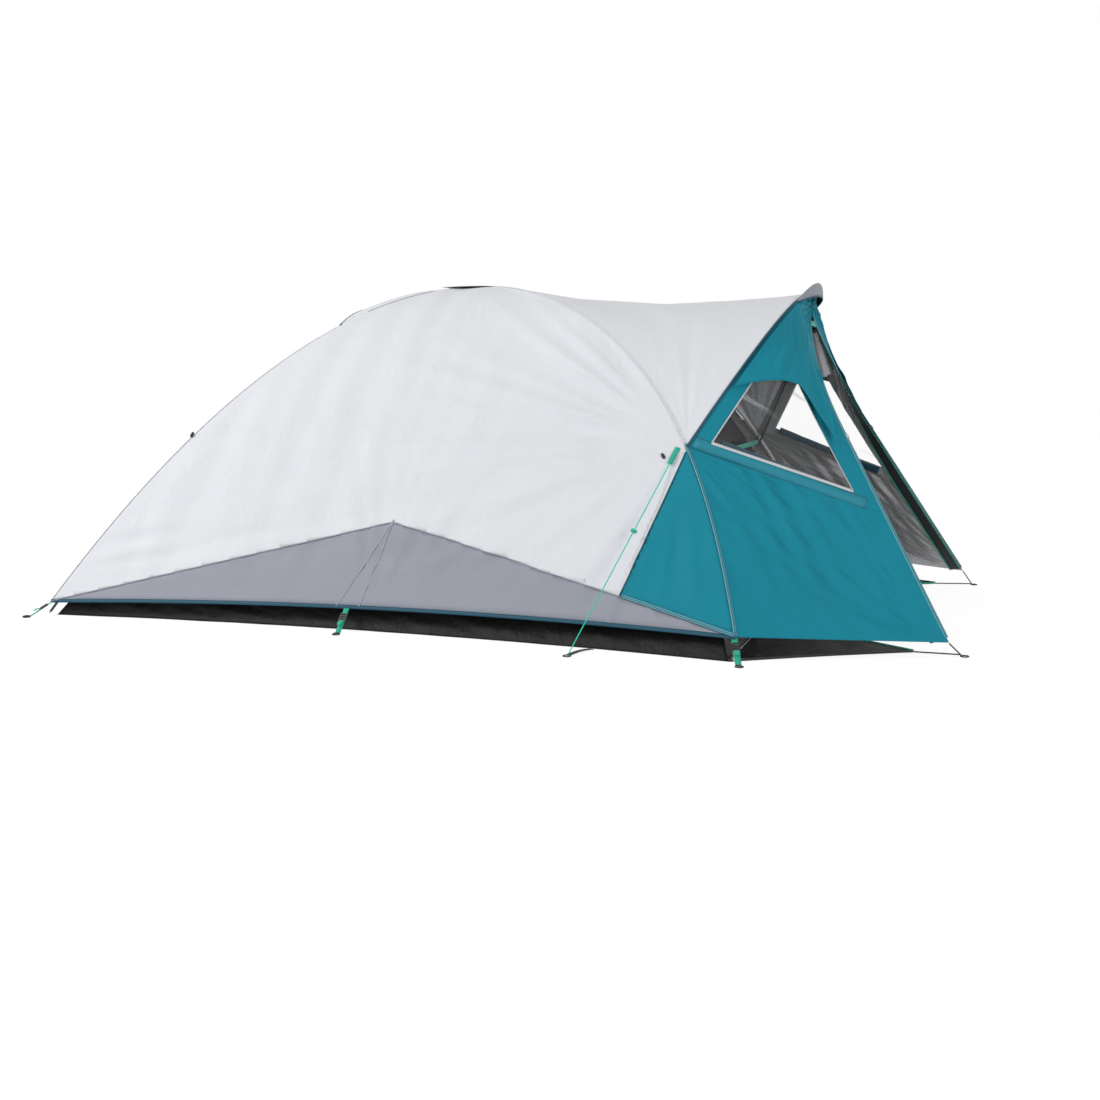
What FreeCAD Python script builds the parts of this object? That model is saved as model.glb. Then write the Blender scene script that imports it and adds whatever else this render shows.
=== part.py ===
"""A dome tent with a front porch, pitched: poles, flysheet, inner tent, straps and guy line.

The origin is on the ground at the middle of the dome's floor. +X points to the door, +Z up, and
the near side is -Y. All sizes are in millimetres.
"""
import FreeCAD, Part

import math
import os

os.makedirs("parts", exist_ok=True)
doc = FreeCAD.newDocument("Tent")

# ---------------------------------------------------------------- driving sizes
SIZES = [
    ("dome_length", 2574, "between the pole feet, front to back"),
    ("dome_width", 2214, "between the pole feet, side to side"),
    ("dome_height", 1220, "ground to the middle of the poles where they cross"),
    ("rear_curve", 1.86, "power of the rear half of a dome pole"),
    ("front_flat", 0.55, "share of the square term in the front half of a dome pole"),
    ("front_bow", 1.79, "how far the front half is drawn in by the strap across"),
    ("pole_diameter", 9.5, "glass fibre rod"),
    ("rods_per_half", 4, "rods in half a dome pole"),
    ("sleeve_length", 55, "metal sleeve over the joint of two rods"),
    ("sleeve_wall", 0.9, "wall of that sleeve"),
    ("sleeve_play", 0.7, "radial play of a rod in its sleeve"),
    ("foot_height", 16, "height of the end of a dome pole"),
    ("arch_station", 0.79, "where the arch stands on the front half of a dome pole"),
    ("arch_top_ahead", 46, "top of the arch, ahead of the dome's front"),
    ("arch_top_height", 1170, "ground to the top of the arch pole"),
    ("arch_shape", 2.5, "power of the arch"),
    ("hub_length", 34, "hub that holds an arch foot to a dome pole"),
    ("hub_play", 0.7, "radial play of the dome pole in its hub"),
    ("hub_wall", 2.2, "wall of that hub"),
    ("fabric", 2, "thickness that stands for a fabric with its folds"),
    ("fly_gap", 18, "flysheet above the middle of a pole"),
    ("inner_gap", 32, "inner tent below the middle of a pole"),
    ("seam_gap", 0.6, "half of the gap between two panels at a seam"),
    ("hem_rear", 55, "height of the hem at the rear corners"),
    ("hem_front", 76, "height of the hem at the front pole feet"),
    ("hem_rise", 18, "extra height of the hem halfway"),
    ("hem_bow", 84, "how far the hem bows in halfway along a side"),
    ("skirt_peak", 366, "height of the skirt's peak halfway along the side"),
    ("corner_back", 410, "where the blue corner starts, behind the dome's front"),
    ("hem_width", 12, "width of the binding on the hem"),
    ("bind_gap", 0.4, "binding above the fabric"),
    ("door_ahead", 620, "front corners of the fly, ahead of the dome's front"),
    ("door_half_width", 817, "half the width of the doorway at the ground"),
    ("door_foot", 52, "height of the fly's front corners"),
    ("shoulder_ahead", 232, "where the door edge starts to curve, ahead of the dome's front"),
    ("shoulder_half_width", 440, "half the doorway's width there"),
    ("shoulder_height", 700, "height of that place"),
    ("door_top_ahead", 56, "top of the doorway, ahead of the dome's front"),
    ("door_top_half", 26, "half the width of the doorway's top"),
    ("door_top_height", 1108, "height of the doorway's top"),
    ("split_height", 430, "height at the door edge of the seam under the window"),
    ("hood_reach", 44, "front hood, ahead of the arch's top"),
    ("hood_rise", 38, "front hood, above the arch's top"),
    ("vent_reach", 528, "tip of the rear vent hood, behind the middle"),
    ("vent_tip_height", 1150, "height of that tip"),
    ("vent_station", 0.334, "where the rear hood's rim meets the dome poles"),
    ("window_lift", 34, "how far the window hood's edge stands off"),
    ("zip_width", 56, "black band along the door edge"),
    ("zip_gap", 0.5, "gap between the fly and the black band"),
    ("roll_radius", 42, "thick end of the rolled door"),
    ("curtain_radius", 17, "rolled window curtain"),
    ("roll_gap", 0.2, "a roll off the cloth that holds it"),
    ("tub_height", 80, "height of the floor's walls"),
    ("floor_thick", 3, "floor sheet"),
    ("floor_inset_x", 25, "floor's end inside the pole feet"),
    ("floor_inset_y", 22, "floor's side inside the pole feet"),
    ("floor_bow", 86, "how far a long side of the floor bows in"),
    ("wing_tip_ahead", 510, "tip of a floor wing, ahead of the dome's front"),
    ("wing_tip_side", 748, "tip of a floor wing, from the middle"),
    ("wing_root", 372, "inner end of a wing's root, from the middle"),
    ("inner_door_width", 640, "inner door, side to side"),
    ("inner_door_sill", 26, "inner door's foot above the floor's wall"),
    ("inner_door_top", 560, "inner door's top"),
    ("inner_door_gap", 3, "gap round the inner door"),
    ("zip_slide_width", 9, "slider on the door's zip"),
    ("clip_reach", 12, "tab of a clip below its pole"),
    ("inner_seam", 9, "inner tent's front off the seam at the pole"),
    ("webbing", 20, "width of the straps"),
    ("webbing_thick", 1.6, "thickness of the straps"),
    ("loop_radius", 15, "outer radius of a peg loop"),
    ("loop_bore", 10, "radius of a peg loop's hole"),
    ("loop_thick", 3, "thickness of a peg loop"),
    ("cord_diameter", 3.2, "guy line and the short cords"),
    ("guy_slide_radius", 11, "round slider on the guy line"),
    ("guy_slide_thick", 7, "thickness of that slider"),
    ("buckle_width", 27, "ladder-lock buckle"),
    ("buckle_length", 30, "ladder-lock buckle, along the strap"),
    ("buckle_thick", 5, "ladder-lock buckle"),
    ("buckle_bar", 3.4, "a bar of the buckle"),
    ("stake_ahead", 668, "where the front cords are pegged, ahead of the dome's front"),
    ("stake_side", 768, "and from the middle"),
    ("guy_peg_x", 762, "where the guy line is pegged, ahead of the middle"),
    ("guy_peg_side", 1168, "and from the middle"),
]
sheet = doc.addObject("Spreadsheet::Sheet", "Sizes")
for row, (name, value, note) in enumerate(SIZES, start=1):
    sheet.set("A%d" % row, name)
    sheet.set("B%d" % row, str(value))
    sheet.set("C%d" % row, note)
    sheet.setAlias("B%d" % row, name)
doc.recompute()


class Cells:
    """The sheet's values by name."""

    def __getattr__(self, name):
        return float(sheet.get(name))


size = Cells()
NEAR, FAR = -1, 1
SIDES = ((NEAR, "near"), (FAR, "far"))
Z = FreeCAD.Vector(0, 0, 1)
NODES = []


def point(x, y, z):
    return FreeCAD.Vector(x, y, z)


def mix(a, b, share):
    return a + (b - a) * share


half_length = size.dome_length / 2
half_width = size.dome_width / 2
inside = point(0, 0, size.dome_height / 4)


# ---------------------------------------------------------------- nodes
def node(label, shape):
    """A sub-part made with Part's own functions."""
    feature = doc.addObject("Part::Feature", label)
    feature.Shape = shape
    feature.Label = label
    NODES.append(feature)
    return feature


def keep(feature, label):
    """Name a parametric object as a sub-part."""
    feature.Label = label
    NODES.append(feature)
    return feature


def group(label, shapes):
    return node(label, Part.makeCompound(shapes))


# ---------------------------------------------------------------- curves of the frame
def rear_pole(side, station, off=0.0):
    """Rear half of a dome pole: station 0 at the top, 1 at the ground."""
    return point(-(half_length + off) * station, side * (half_width + off) * station,
                 (size.dome_height + off) * (1 - station ** size.rear_curve))


def front_pole(side, station, off=0.0):
    """Front half of a dome pole, drawn in towards the middle above its foot."""
    bow = size.front_bow * station ** 3 * (1 - station)
    drop = size.front_flat * station ** 2 + (1 - size.front_flat) * station ** 5
    return point((half_length + off) * station, side * (half_width * (station - bow) + off * station),
                 (size.dome_height + off) * (1 - drop))


def station_at(pole, height, off=0.0):
    """Station at which half a pole passes a height."""
    low, high = 0.0, 1.0
    for _ in range(48):
        middle = (low + high) / 2
        if pole(NEAR, middle, off).z > height:
            low = middle
        else:
            high = middle
    return (low + high) / 2


def arch(side, share, foot, top):
    """Half the arch: share 0 at the top, 1 at the foot."""
    fall = abs(share) ** size.arch_shape
    return point(top.x + (foot.x - top.x) * fall, side * abs(foot.y) * share,
                 top.z + (foot.z - top.z) * fall)


def fly_arch(side, share):
    foot = front_pole(side, size.arch_station, size.fly_gap)
    top = point(half_length + size.arch_top_ahead + size.fly_gap / 2, 0,
                size.arch_top_height + size.fly_gap * 0.8)
    return arch(side, share, foot, top)


def door_edge(side, share):
    """Edge of the doorway: share 0 at the ground, straight to the shoulder, then in to the top."""
    foot = point(half_length + size.door_ahead, side * size.door_half_width, size.door_foot)
    shoulder = point(half_length + size.shoulder_ahead, side * size.shoulder_half_width,
                     size.shoulder_height)
    top = point(half_length + size.door_top_ahead, side * size.door_top_half, size.door_top_height)
    straight = (shoulder - foot).Length / ((shoulder - foot).Length + (top - shoulder).Length)
    if share <= straight:
        return mix(foot, shoulder, share / straight)
    late = (share - straight) / (1 - straight)
    turn = shoulder + (shoulder - foot).normalize() * ((top - shoulder).Length * 0.45)
    return mix(mix(shoulder, turn, late), mix(turn, top, late), late)


def door_share_at(height):
    low, high = 0.0, 1.0
    for _ in range(48):
        middle = (low + high) / 2
        if door_edge(NEAR, middle).z < height:
            low = middle
        else:
            high = middle
    return (low + high) / 2


# ---------------------------------------------------------------- fabric panels
class Panel:
    """A smooth surface between four curves that each run from 0 to 1."""

    def __init__(self, top, bottom, left, right):
        self.top, self.bottom, self.left, self.right = top, bottom, left, right

    def at(self, across, down):
        corners = mix(mix(self.top(0), self.top(1), across),
                      mix(self.bottom(0), self.bottom(1), across), down)
        return (mix(self.top(across), self.bottom(across), down)
                + mix(self.left(down), self.right(down), across) - corners)

    def normal(self, across, down, step=0.01):
        """Unit normal that points away from the tent's inside."""
        place = self.at(across, down)
        cross = (self.at(across + step, down) - place).cross(self.at(across, down + step) - place)
        cross.normalize()
        return cross if cross.dot(place - inside) > 0 else cross * -1

    def face(self, columns=6, rows=6, trim=None, **borders):
        """The surface, cut back at its borders by a gap in millimetres."""
        gap = size.seam_gap if trim is None else trim
        width = (self.at(1, 0.5) - self.at(0, 0.5)).Length
        height = (self.at(0.5, 1) - self.at(0.5, 0)).Length
        start_u, end_u = borders.get("left", gap) / width, 1 - borders.get("right", gap) / width
        start_v, end_v = borders.get("top", gap) / height, 1 - borders.get("bottom", gap) / height
        return self.piece(start_u, end_u, start_v, end_v, 0, columns, rows)

    def piece(self, start_u, end_u, start_v, end_v, lift, columns, rows):
        """Part of the surface, moved out along its normal."""
        grid = []
        for row in range(rows + 1):
            down = start_v + (end_v - start_v) * row / rows
            stretch = []
            for column in range(columns + 1):
                across = start_u + (end_u - start_u) * column / columns
                place = self.at(across, down)
                if lift:
                    place = place + self.normal(min(across, 0.98), min(down, 0.98)) * lift
                stretch.append(place)
            grid.append(stretch)
        surface = Part.BSplineSurface()
        surface.interpolate(grid)
        return surface.toShape()


def line(start, end):
    return lambda share: mix(start, end, share)


def outward(face):
    """1 where the face's normal points away from the tent's inside, else -1."""
    u0, u1, v0, v1 = face.ParameterRange
    normal = face.normalAt((u0 + u1) / 2, (v0 + v1) / 2)
    return 1 if normal.dot(face.CenterOfMass - inside) > 0 else -1


def thick(face, thickness=None):
    """Thicken a face to the outside of the tent."""
    amount = size.fabric if thickness is None else thickness
    return face.makeOffsetShape(outward(face) * amount, 0.01, fill=True)


def prism(corners, along):
    """Solid swept from a flat polygon by a vector, half of it to each side."""
    start = along * -0.5
    loop = [corner + start for corner in corners]
    return Part.Face(Part.makePolygon(loop + [loop[0]])).extrude(along)


# ---------------------------------------------------------------- poles
radius = size.pole_diameter / 2
bore = radius + size.sleeve_play


def arc_from(start, direction, end):
    """Arc that leaves a point in a direction and ends at another point."""
    chord = end - start
    half = chord.Length / 2
    ahead = FreeCAD.Vector(chord).normalize()
    side = direction - ahead * direction.dot(ahead)
    angle = direction.getAngle(ahead)
    middle = (start + end) * 0.5 + side.normalize() * (half * math.tan(angle / 2))
    return Part.Arc(start, middle, end)


def two_arcs(start, leave, end, arrive):
    """Two arcs that meet smoothly, from one point and direction to another."""
    span = end - start
    turn = 2 * (1 - leave.dot(arrive))
    reach = span.dot(leave + arrive)
    step = (math.sqrt(reach * reach + turn * span.dot(span)) - reach) / turn
    meet = (start + leave * step + end - arrive * step) * 0.5
    return [arc_from(start, leave, meet), arc_from(end, arrive * -1, meet)]


class BentPole:
    """A pole of rods joined end to end, each bent smoothly along a curve."""

    def __init__(self, curve, joints):
        self.curve = curve
        self.joints = joints
        self.bends = [two_arcs(curve(a), self.along(a, 1), curve(b), self.along(b, -1))
                      for a, b in zip(joints, joints[1:])]

    def along(self, share, into):
        """Direction of the curve, towards its far end, measured on one side of a place."""
        step = 1e-5 * into
        return ((self.curve(share + step) - self.curve(share)) * into).normalize()

    def place(self, share):
        """Point and direction at a share of the pole."""
        index = 0
        while index < len(self.bends) - 1 and share > self.joints[index + 1]:
            index += 1
        first, last = self.bends[index]
        part = (share - self.joints[index]) / (self.joints[index + 1] - self.joints[index])
        distance = part * (first.length() + last.length())
        if distance <= first.length():
            at = first.parameterAtDistance(distance, first.FirstParameter)
            return first.value(at), FreeCAD.Vector(first.tangent(at)[0])
        at = last.parameterAtDistance(first.length() + last.length() - distance, last.FirstParameter)
        return last.value(at), FreeCAD.Vector(last.tangent(at)[0]) * -1

    def rods(self):
        shapes = []
        for first, last in self.bends:
            near_end = first.parameterAtDistance(0.3, first.FirstParameter)
            far_end = last.parameterAtDistance(0.3, last.FirstParameter)
            edges = [first.toShape(near_end, first.LastParameter), last.toShape(far_end, last.LastParameter)]
            ring = Part.Wire(Part.makeCircle(radius, first.value(near_end),
                                             FreeCAD.Vector(first.tangent(near_end)[0])))
            shapes.append(Part.Wire(edges).makePipeShell([ring], True, False))
        return shapes

    def sleeve(self, joint):
        """Metal sleeve over a joint of two rods."""
        middle, along = self.place(self.joints[joint])
        along.normalize()
        start = middle - along * (size.sleeve_length / 2)
        outer = Part.makeCylinder(bore + size.sleeve_wall, size.sleeve_length, start, along)
        return outer.cut(Part.makeCylinder(bore, size.sleeve_length, start, along))

    def tip(self, end):
        """Metal foot at one end of the pole."""
        place, along = self.place(end)
        along = along if end else along * -1
        return Part.makeCone(radius, radius * 0.6, size.foot_height / 2, place + along * 0.2, along)


rear_end = station_at(rear_pole, size.foot_height)
front_end = station_at(front_pole, size.foot_height)


def dome_curve(side, lift):
    """A dome pole from the rear foot on one side, 0, to the front foot on the other, 1."""
    def curve(share):
        if share < 0.5:
            station = rear_end * (1 - 2 * share)
            place = rear_pole(side, station)
        else:
            station = front_end * (2 * share - 1)
            place = front_pole(-side, station)
        return place + Z * (lift * max(0.0, 1 - (station / 0.35) ** 2) ** 2)
    return curve


rod_count = int(2 * size.rods_per_half)
joints = [index / rod_count for index in range(rod_count + 1)]
dome_poles = {FAR: BentPole(dome_curve(NEAR, 0), joints),
              NEAR: BentPole(dome_curve(FAR, size.pole_diameter + size.sleeve_play), joints)}
group("dome_pole_a", dome_poles[FAR].rods())
group("dome_pole_b", dome_poles[NEAR].rods())
arch_share = 0.5 + 0.5 * size.arch_station / front_end


def arch_foot(side):
    """Middle of the arch pole at its foot, beside the dome pole."""
    place = dome_poles[side].place(arch_share)[0]
    reach = size.pole_diameter + 3 * size.sleeve_play
    return place + point(0.55 * reach, -0.83 * side * reach, 0)


def whole_arch(share):
    """The arch pole from its near foot, 0, to its far foot, 1."""
    side = NEAR if share < 0.5 else FAR
    top = point(half_length + size.arch_top_ahead, 0, size.arch_top_height)
    return arch(side, abs(2 * share - 1), arch_foot(side), top)


arch_pole = BentPole(whole_arch, [0.0, 0.2, 0.4, 0.6, 0.8, 1.0])
group("arch_pole", arch_pole.rods())
sleeves = [dome_poles[side].sleeve(joint) for side in (FAR, NEAR)
           for joint in range(1, rod_count) if joint != rod_count // 2]
sleeves += [arch_pole.sleeve(joint) for joint in (1, 2, 3, 4)]
group("pole_sleeves", sleeves)


def hub(side):
    """Collar round the dome pole with a stud beside it that the arch's foot stands on."""
    place, along = dome_poles[side].place(arch_share)
    start = place - along * (size.hub_length / 2)
    hole = radius + size.hub_play
    collar = Part.makeCylinder(hole + size.hub_wall, size.hub_length, start, along)
    down = arch_pole.place(0.0)[1] * -1 if side == NEAR else arch_pole.place(1.0)[1]
    socket = Part.makeCylinder(radius, size.hub_length / 2, arch_foot(side) + down * 0.3, down)
    return collar.fuse(socket).cut(Part.makeCylinder(hole, size.hub_length, start, along))


group("arch_hubs", [hub(side) for side, _ in SIDES])
group("pole_tips", [dome_poles[side].tip(end) for side in (FAR, NEAR) for end in (0, 1)])


# ---------------------------------------------------------------- dome of the flysheet
APEX = 0.014


def side_panel(side, off, rear_hem, front_hem, bow, rise):
    """Side of the dome from the rear pole to the front pole."""
    rear_end = station_at(rear_pole, rear_hem, off)
    front_end = station_at(front_pole, front_hem, off)
    left = lambda share: rear_pole(side, APEX + (rear_end - APEX) * share, off)
    right = lambda share: front_pole(side, APEX + (front_end - APEX) * share, off)
    rear_corner, front_corner = left(1), right(1)

    def hem(share):
        belly = 4 * share * (1 - share)
        return mix(rear_corner, front_corner, share) + point(0, -side * bow * belly, rise * belly)
    return Panel(line(left(0), right(0)), hem, left, right)


fly_sides = {side: side_panel(side, size.fly_gap, size.hem_rear, size.hem_front, size.hem_bow,
                              size.hem_rise) for side, _ in SIDES}
big = size.dome_length
rear_hem_point = rear_pole(NEAR, station_at(rear_pole, size.hem_rear, size.fly_gap), size.fly_gap)
front_hem_point = front_pole(NEAR, station_at(front_pole, size.hem_front, size.fly_gap), size.fly_gap)
arch_foot_height = front_pole(NEAR, size.arch_station).z
corner_x = half_length - size.corner_back
skirt_slope = (size.skirt_peak - size.hem_front) / front_hem_point.x
corner_z = size.skirt_peak - skirt_slope * corner_x
skirt_outline = [point(rear_hem_point.x, 0, size.hem_rear), point(0, 0, size.skirt_peak),
                 point(front_hem_point.x, 0, size.hem_front),
                 point(front_hem_point.x + big, 0, size.hem_front - big),
                 point(rear_hem_point.x - big, 0, size.hem_rear - big)]
arch_foot_x = front_pole(NEAR, size.arch_station, size.fly_gap).x
corner_outline = [point(corner_x, 0, corner_z), point(arch_foot_x, 0, arch_foot_height),
                  point(arch_foot_x + big, 0, arch_foot_height),
                  point(arch_foot_x + big, 0, -big), point(corner_x, 0, -big)]
fly_whole = {}
for side, word in SIDES:
    whole = thick(fly_sides[side].face(8, 7))
    fly_whole[side] = whole
    through = point(0, 3 * size.dome_width, 0)
    skirt_tool = prism(skirt_outline, through)
    corner_tool = prism(corner_outline, through)
    node("fly_skirt_" + word, whole.common(skirt_tool))
    rest = whole.cut(skirt_tool)
    node("fly_corner_" + word, rest.common(corner_tool))
    node("fly_side_" + word, rest.cut(corner_tool))


def rear_panel(off, start, hem_height, bow, rise):
    """Rear of the dome between the two rear half poles, from a station down to the hem."""
    end = station_at(rear_pole, hem_height, off)
    left = lambda share: rear_pole(FAR, start + (end - start) * share, off)
    right = lambda share: rear_pole(NEAR, start + (end - start) * share, off)
    corners = left(1), right(1)

    def hem(share):
        belly = 4 * share * (1 - share)
        return mix(corners[0], corners[1], share) + point(bow * belly, 0, rise * belly)
    return Panel(line(left(0), right(0)), hem, left, right)


fly_rear_panel = rear_panel(size.fly_gap, size.vent_station, size.hem_rear, size.hem_bow, size.hem_rise)
rear_whole = thick(fly_rear_panel.face())
rear_outline = [point(0, rear_hem_point.y, size.hem_rear), point(0, 0, size.skirt_peak),
                point(0, -rear_hem_point.y, size.hem_rear),
                point(0, -rear_hem_point.y + big, size.hem_rear - big),
                point(0, rear_hem_point.y - big, size.hem_rear - big)]
rear_tool = prism(rear_outline, point(3 * size.dome_length, 0, 0))
node("fly_rear", rear_whole.cut(rear_tool))
node("fly_skirt_rear", rear_whole.common(rear_tool))

mesh_end = size.vent_station - 0.002
mesh_left = lambda share: rear_pole(FAR, 0.04 + (mesh_end - 0.04) * share, size.fly_gap)
mesh_right = lambda share: rear_pole(NEAR, 0.04 + (mesh_end - 0.04) * share, size.fly_gap)
mesh = Panel(line(mesh_left(0), mesh_right(0)), line(mesh_left(1), mesh_right(1)), mesh_left, mesh_right)
node("rear_vent_mesh", thick(mesh.face(4, 4)))

hood_off = size.fly_gap + size.fabric + size.seam_gap
hood_start = 0.075
hood_left = lambda share: rear_pole(FAR, hood_start + (size.vent_station - hood_start) * share, hood_off)
hood_right = lambda share: rear_pole(NEAR, hood_start + (size.vent_station - hood_start) * share, hood_off)


def vent_rim(share):
    """Rim of the rear hood: from pole to pole through the tip."""
    swell = 1 - (2 * share - 1) ** 2
    ends = mix(hood_left(1), hood_right(1), share)
    tip = point(-size.vent_reach, 0, size.vent_tip_height)
    return ends + (tip - mix(hood_left(1), hood_right(1), 0.5)) * swell


vent_hood = Panel(line(hood_left(0), hood_right(0)), vent_rim, hood_left, hood_right)
node("rear_vent_hood", thick(vent_hood.face(8, 5)))

# ---------------------------------------------------------------- roof between the dome and the arch
ridge_top = fly_arch(NEAR, 0)
split_share = door_share_at(size.split_height)
for side, word in SIDES:
    pole_end = size.arch_station

    def ridge(share, side=side):
        start = point(front_pole(side, 0.05, size.fly_gap).x, 0, front_pole(side, 0.05, size.fly_gap).z)
        sag = 2 * size.fly_gap + 0.25 * size.hem_bow
        return mix(start, ridge_top, share) - Z * (sag * math.sin(math.pi * share) * 0.6)
    edge = lambda share, side=side: front_pole(side, 0.05 + (pole_end - 0.05) * share, size.fly_gap)
    rim = lambda share, side=side: fly_arch(side, share)
    roof = Panel(line(ridge(0), edge(0)), rim, ridge, edge)
    sheet_of_roof = thick(roof.face(6, 6)).cut(fly_whole[side])
    if side == FAR:
        sheet_of_roof = sheet_of_roof.cut(NODES[-1].Shape)
    node("fly_roof_" + word, sheet_of_roof)

# ---------------------------------------------------------------- porch walls
upper_walls, lower_walls, porch_tops = {}, {}, []
for side, word in SIDES:
    arch_line = lambda share, side=side: fly_arch(side, 0.04 + 0.96 * share)
    door_line = lambda share, side=side: door_edge(side, 1 + (split_share - 1) * share)
    upper = Panel(line(arch_line(0), door_line(0)), line(arch_line(1), door_line(1)), arch_line, door_line)
    upper_walls[side] = upper
    corners = [upper.at(0.10, 0.50), upper.at(0.46, 0.52), upper.at(0.83, 0.90), upper.at(0.06, 0.92)]
    normal = (corners[2] - corners[0]).cross(corners[3] - corners[1]).normalize()
    centre = (corners[0] + corners[1] + corners[2] + corners[3]) * 0.25
    flat = [corner - normal * normal.dot(corner - centre) for corner in corners]
    whole = thick(upper.face())
    through = normal * (0.2 * size.dome_width)
    smaller = [mix(centre, corner, 1 - 2 * size.seam_gap / (corner - centre).Length) for corner in flat]
    porch_tops.append(whole.cut(prism(flat, through)))
    node("vestibule_top_" + word, porch_tops[-1])
    node("window_" + word, whole.common(prism(smaller, through)))

    hem_station = station_at(front_pole, size.hem_front, size.fly_gap)
    pole_line = lambda share, side=side: front_pole(
        side, size.arch_station + (hem_station - size.arch_station) * share, size.fly_gap)
    low_line = lambda share, side=side: door_edge(side, split_share * (1 - share))
    lower = Panel(line(pole_line(0), low_line(0)), line(pole_line(1), low_line(1)), pole_line, low_line)
    lower_walls[side] = lower
    node("vestibule_wall_" + word, thick(lower.face()))


def window_hood(side):
    """Flap over a window: sewn along its top, its lower edge standing off."""
    wall = upper_walls[side]
    grid = []
    for row in range(4):
        row_share = row / 3
        stretch = []
        for column in range(7):
            across = 0.04 + 0.86 * column / 6
            lowest = 0.50 + 0.25 * across ** 3
            down = 0.30 + (lowest - 0.30) * row_share
            lift = size.fabric + 0.5 + size.window_lift * row_share ** 2
            stretch.append(wall.at(across, down) + wall.normal(across, down) * lift)
        grid.append(stretch)
    surface = Part.BSplineSurface()
    surface.interpolate(grid)
    return thick(surface.toShape())


for side, word in SIDES:
    node("window_hood_" + word, window_hood(side))


def hood_root(share):
    """Where the front hood meets the arch, from its near end to its far end."""
    reach = 0.36 * (2 * share - 1)
    return fly_arch(NEAR if reach < 0 else FAR, abs(reach)) + Z * (size.fabric + 0.6)


def hood_rim(share):
    swell = 1 - (2 * share - 1) ** 2
    return hood_root(share) + point(6 + size.hood_reach * swell, 0, size.hood_rise * swell)


front_hood = Panel(hood_root, hood_rim, line(hood_root(0), hood_rim(0)), line(hood_root(1), hood_rim(1)))
node("front_hood", thick(front_hood.face(8, 3, 0.1)))


# ---------------------------------------------------------------- bands, hem and rolled parts
def strip(start, end, width, thickness, flat_to, lift=0.0):
    """Flat band from one point to another, its flat side facing a direction."""
    along = (end - start)
    length = along.Length
    along.normalize()
    up = FreeCAD.Vector(flat_to) - along * along.dot(flat_to)
    up.normalize()
    side = up.cross(along)
    frame = FreeCAD.Matrix(along.x, side.x, up.x, start.x, along.y, side.y, up.y, start.y,
                           along.z, side.z, up.z, start.z, 0, 0, 0, 1)
    box = Part.makeBox(length, width, thickness, point(0, -width / 2, lift))
    box.Placement = FreeCAD.Placement(frame).multiply(box.Placement)
    return box


doorway = {}
for side, word in SIDES:
    foot, shoulder = door_edge(side, 0), door_edge(side, door_share_at(size.shoulder_height))
    along = (shoulder - foot).normalize()
    to_wall = lower_walls[side].at(0.9, 0.1) - lower_walls[side].at(1, 0.1)
    ahead = (along * to_wall.dot(along) - to_wall).normalize()
    doorway[side] = (foot, shoulder, along, ahead)
    bands = []
    for wall, start_v, end_v in ((upper_walls[side], 0.10, 0.995), (lower_walls[side], 0.005, 0.985)):
        width = (wall.at(1, 0.6) - wall.at(0, 0.6)).Length
        band = wall.piece(1 - size.zip_width / width, 1 - 2 * size.seam_gap / width, start_v, end_v,
                          -size.fabric - size.zip_gap, 2, 6)
        bands.append(thick(band))
    group("door_zip_" + word, bands)


def rolled(wall, start, end, start_radius, end_radius):
    """Roll of cloth held against the inside of a wall, between two places on it."""
    ends = [wall.at(*place) - wall.normal(*place) * (reach + size.roll_gap)
            for place, reach in ((start, start_radius), (end, end_radius))]
    axis = ends[1] - ends[0]
    if start_radius == end_radius:
        return Part.makeCylinder(start_radius, axis.Length, ends[0], axis)
    return Part.makeCone(start_radius, end_radius, axis.Length, ends[0], axis)


node("door_roll", rolled(upper_walls[FAR], (0.60, 0.17), (0.62, 0.45), size.roll_radius * 0.6,
                         size.roll_radius))
group("curtain_rolls", [rolled(upper_walls[side], (0.14, 0.962), (0.84, 0.955), size.curtain_radius,
                               size.curtain_radius) for side, _ in SIDES])

# strap across between the arch's feet, and the short strap under the top of the door
strap_from, strap_to = (dome_poles[side].place(arch_share)[0] for side, _ in SIDES)
pull = point(0, 1.42 * (radius + size.hub_play + size.hub_wall), 0)
across_feet = strip(strap_from + pull, strap_to - pull, size.webbing, size.webbing_thick, point(1, 0, 0))
top_from, top_to = (upper_walls[side].at(0.75, 0.10) - upper_walls[side].normal(0.75, 0.10) * 5
                    for side, _ in SIDES)
under_top = strip(top_from, top_to, size.webbing, size.webbing_thick, point(1, 0, 0.3))
for panel in porch_tops:
    under_top = under_top.cut(panel)
group("cross_straps", [across_feet, under_top])

# bound hem: thin strips on the outside of the fly's lower edge
hem_strips = []


def bind_hem(panel, pieces):
    """Flat binding along the lower edge of a panel, in short straight lengths."""
    shares = [0.004 + 0.992 * index / pieces for index in range(pieces + 1)]
    for start_share, end_share in zip(shares, shares[1:]):
        start, end = panel.at(start_share, 1), panel.at(end_share, 1)
        shrink = (end - start).normalize() * 0.4
        facing = panel.normal((start_share + end_share) / 2, 0.98, -0.01)
        hem_strips.append(strip(start + shrink, end - shrink, size.hem_width, 1, facing,
                                size.fabric + size.bind_gap))


for side, word in SIDES:
    bind_hem(fly_sides[side], 10)
bind_hem(fly_rear_panel, 8)
group("hem_binding", hem_strips)

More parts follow.
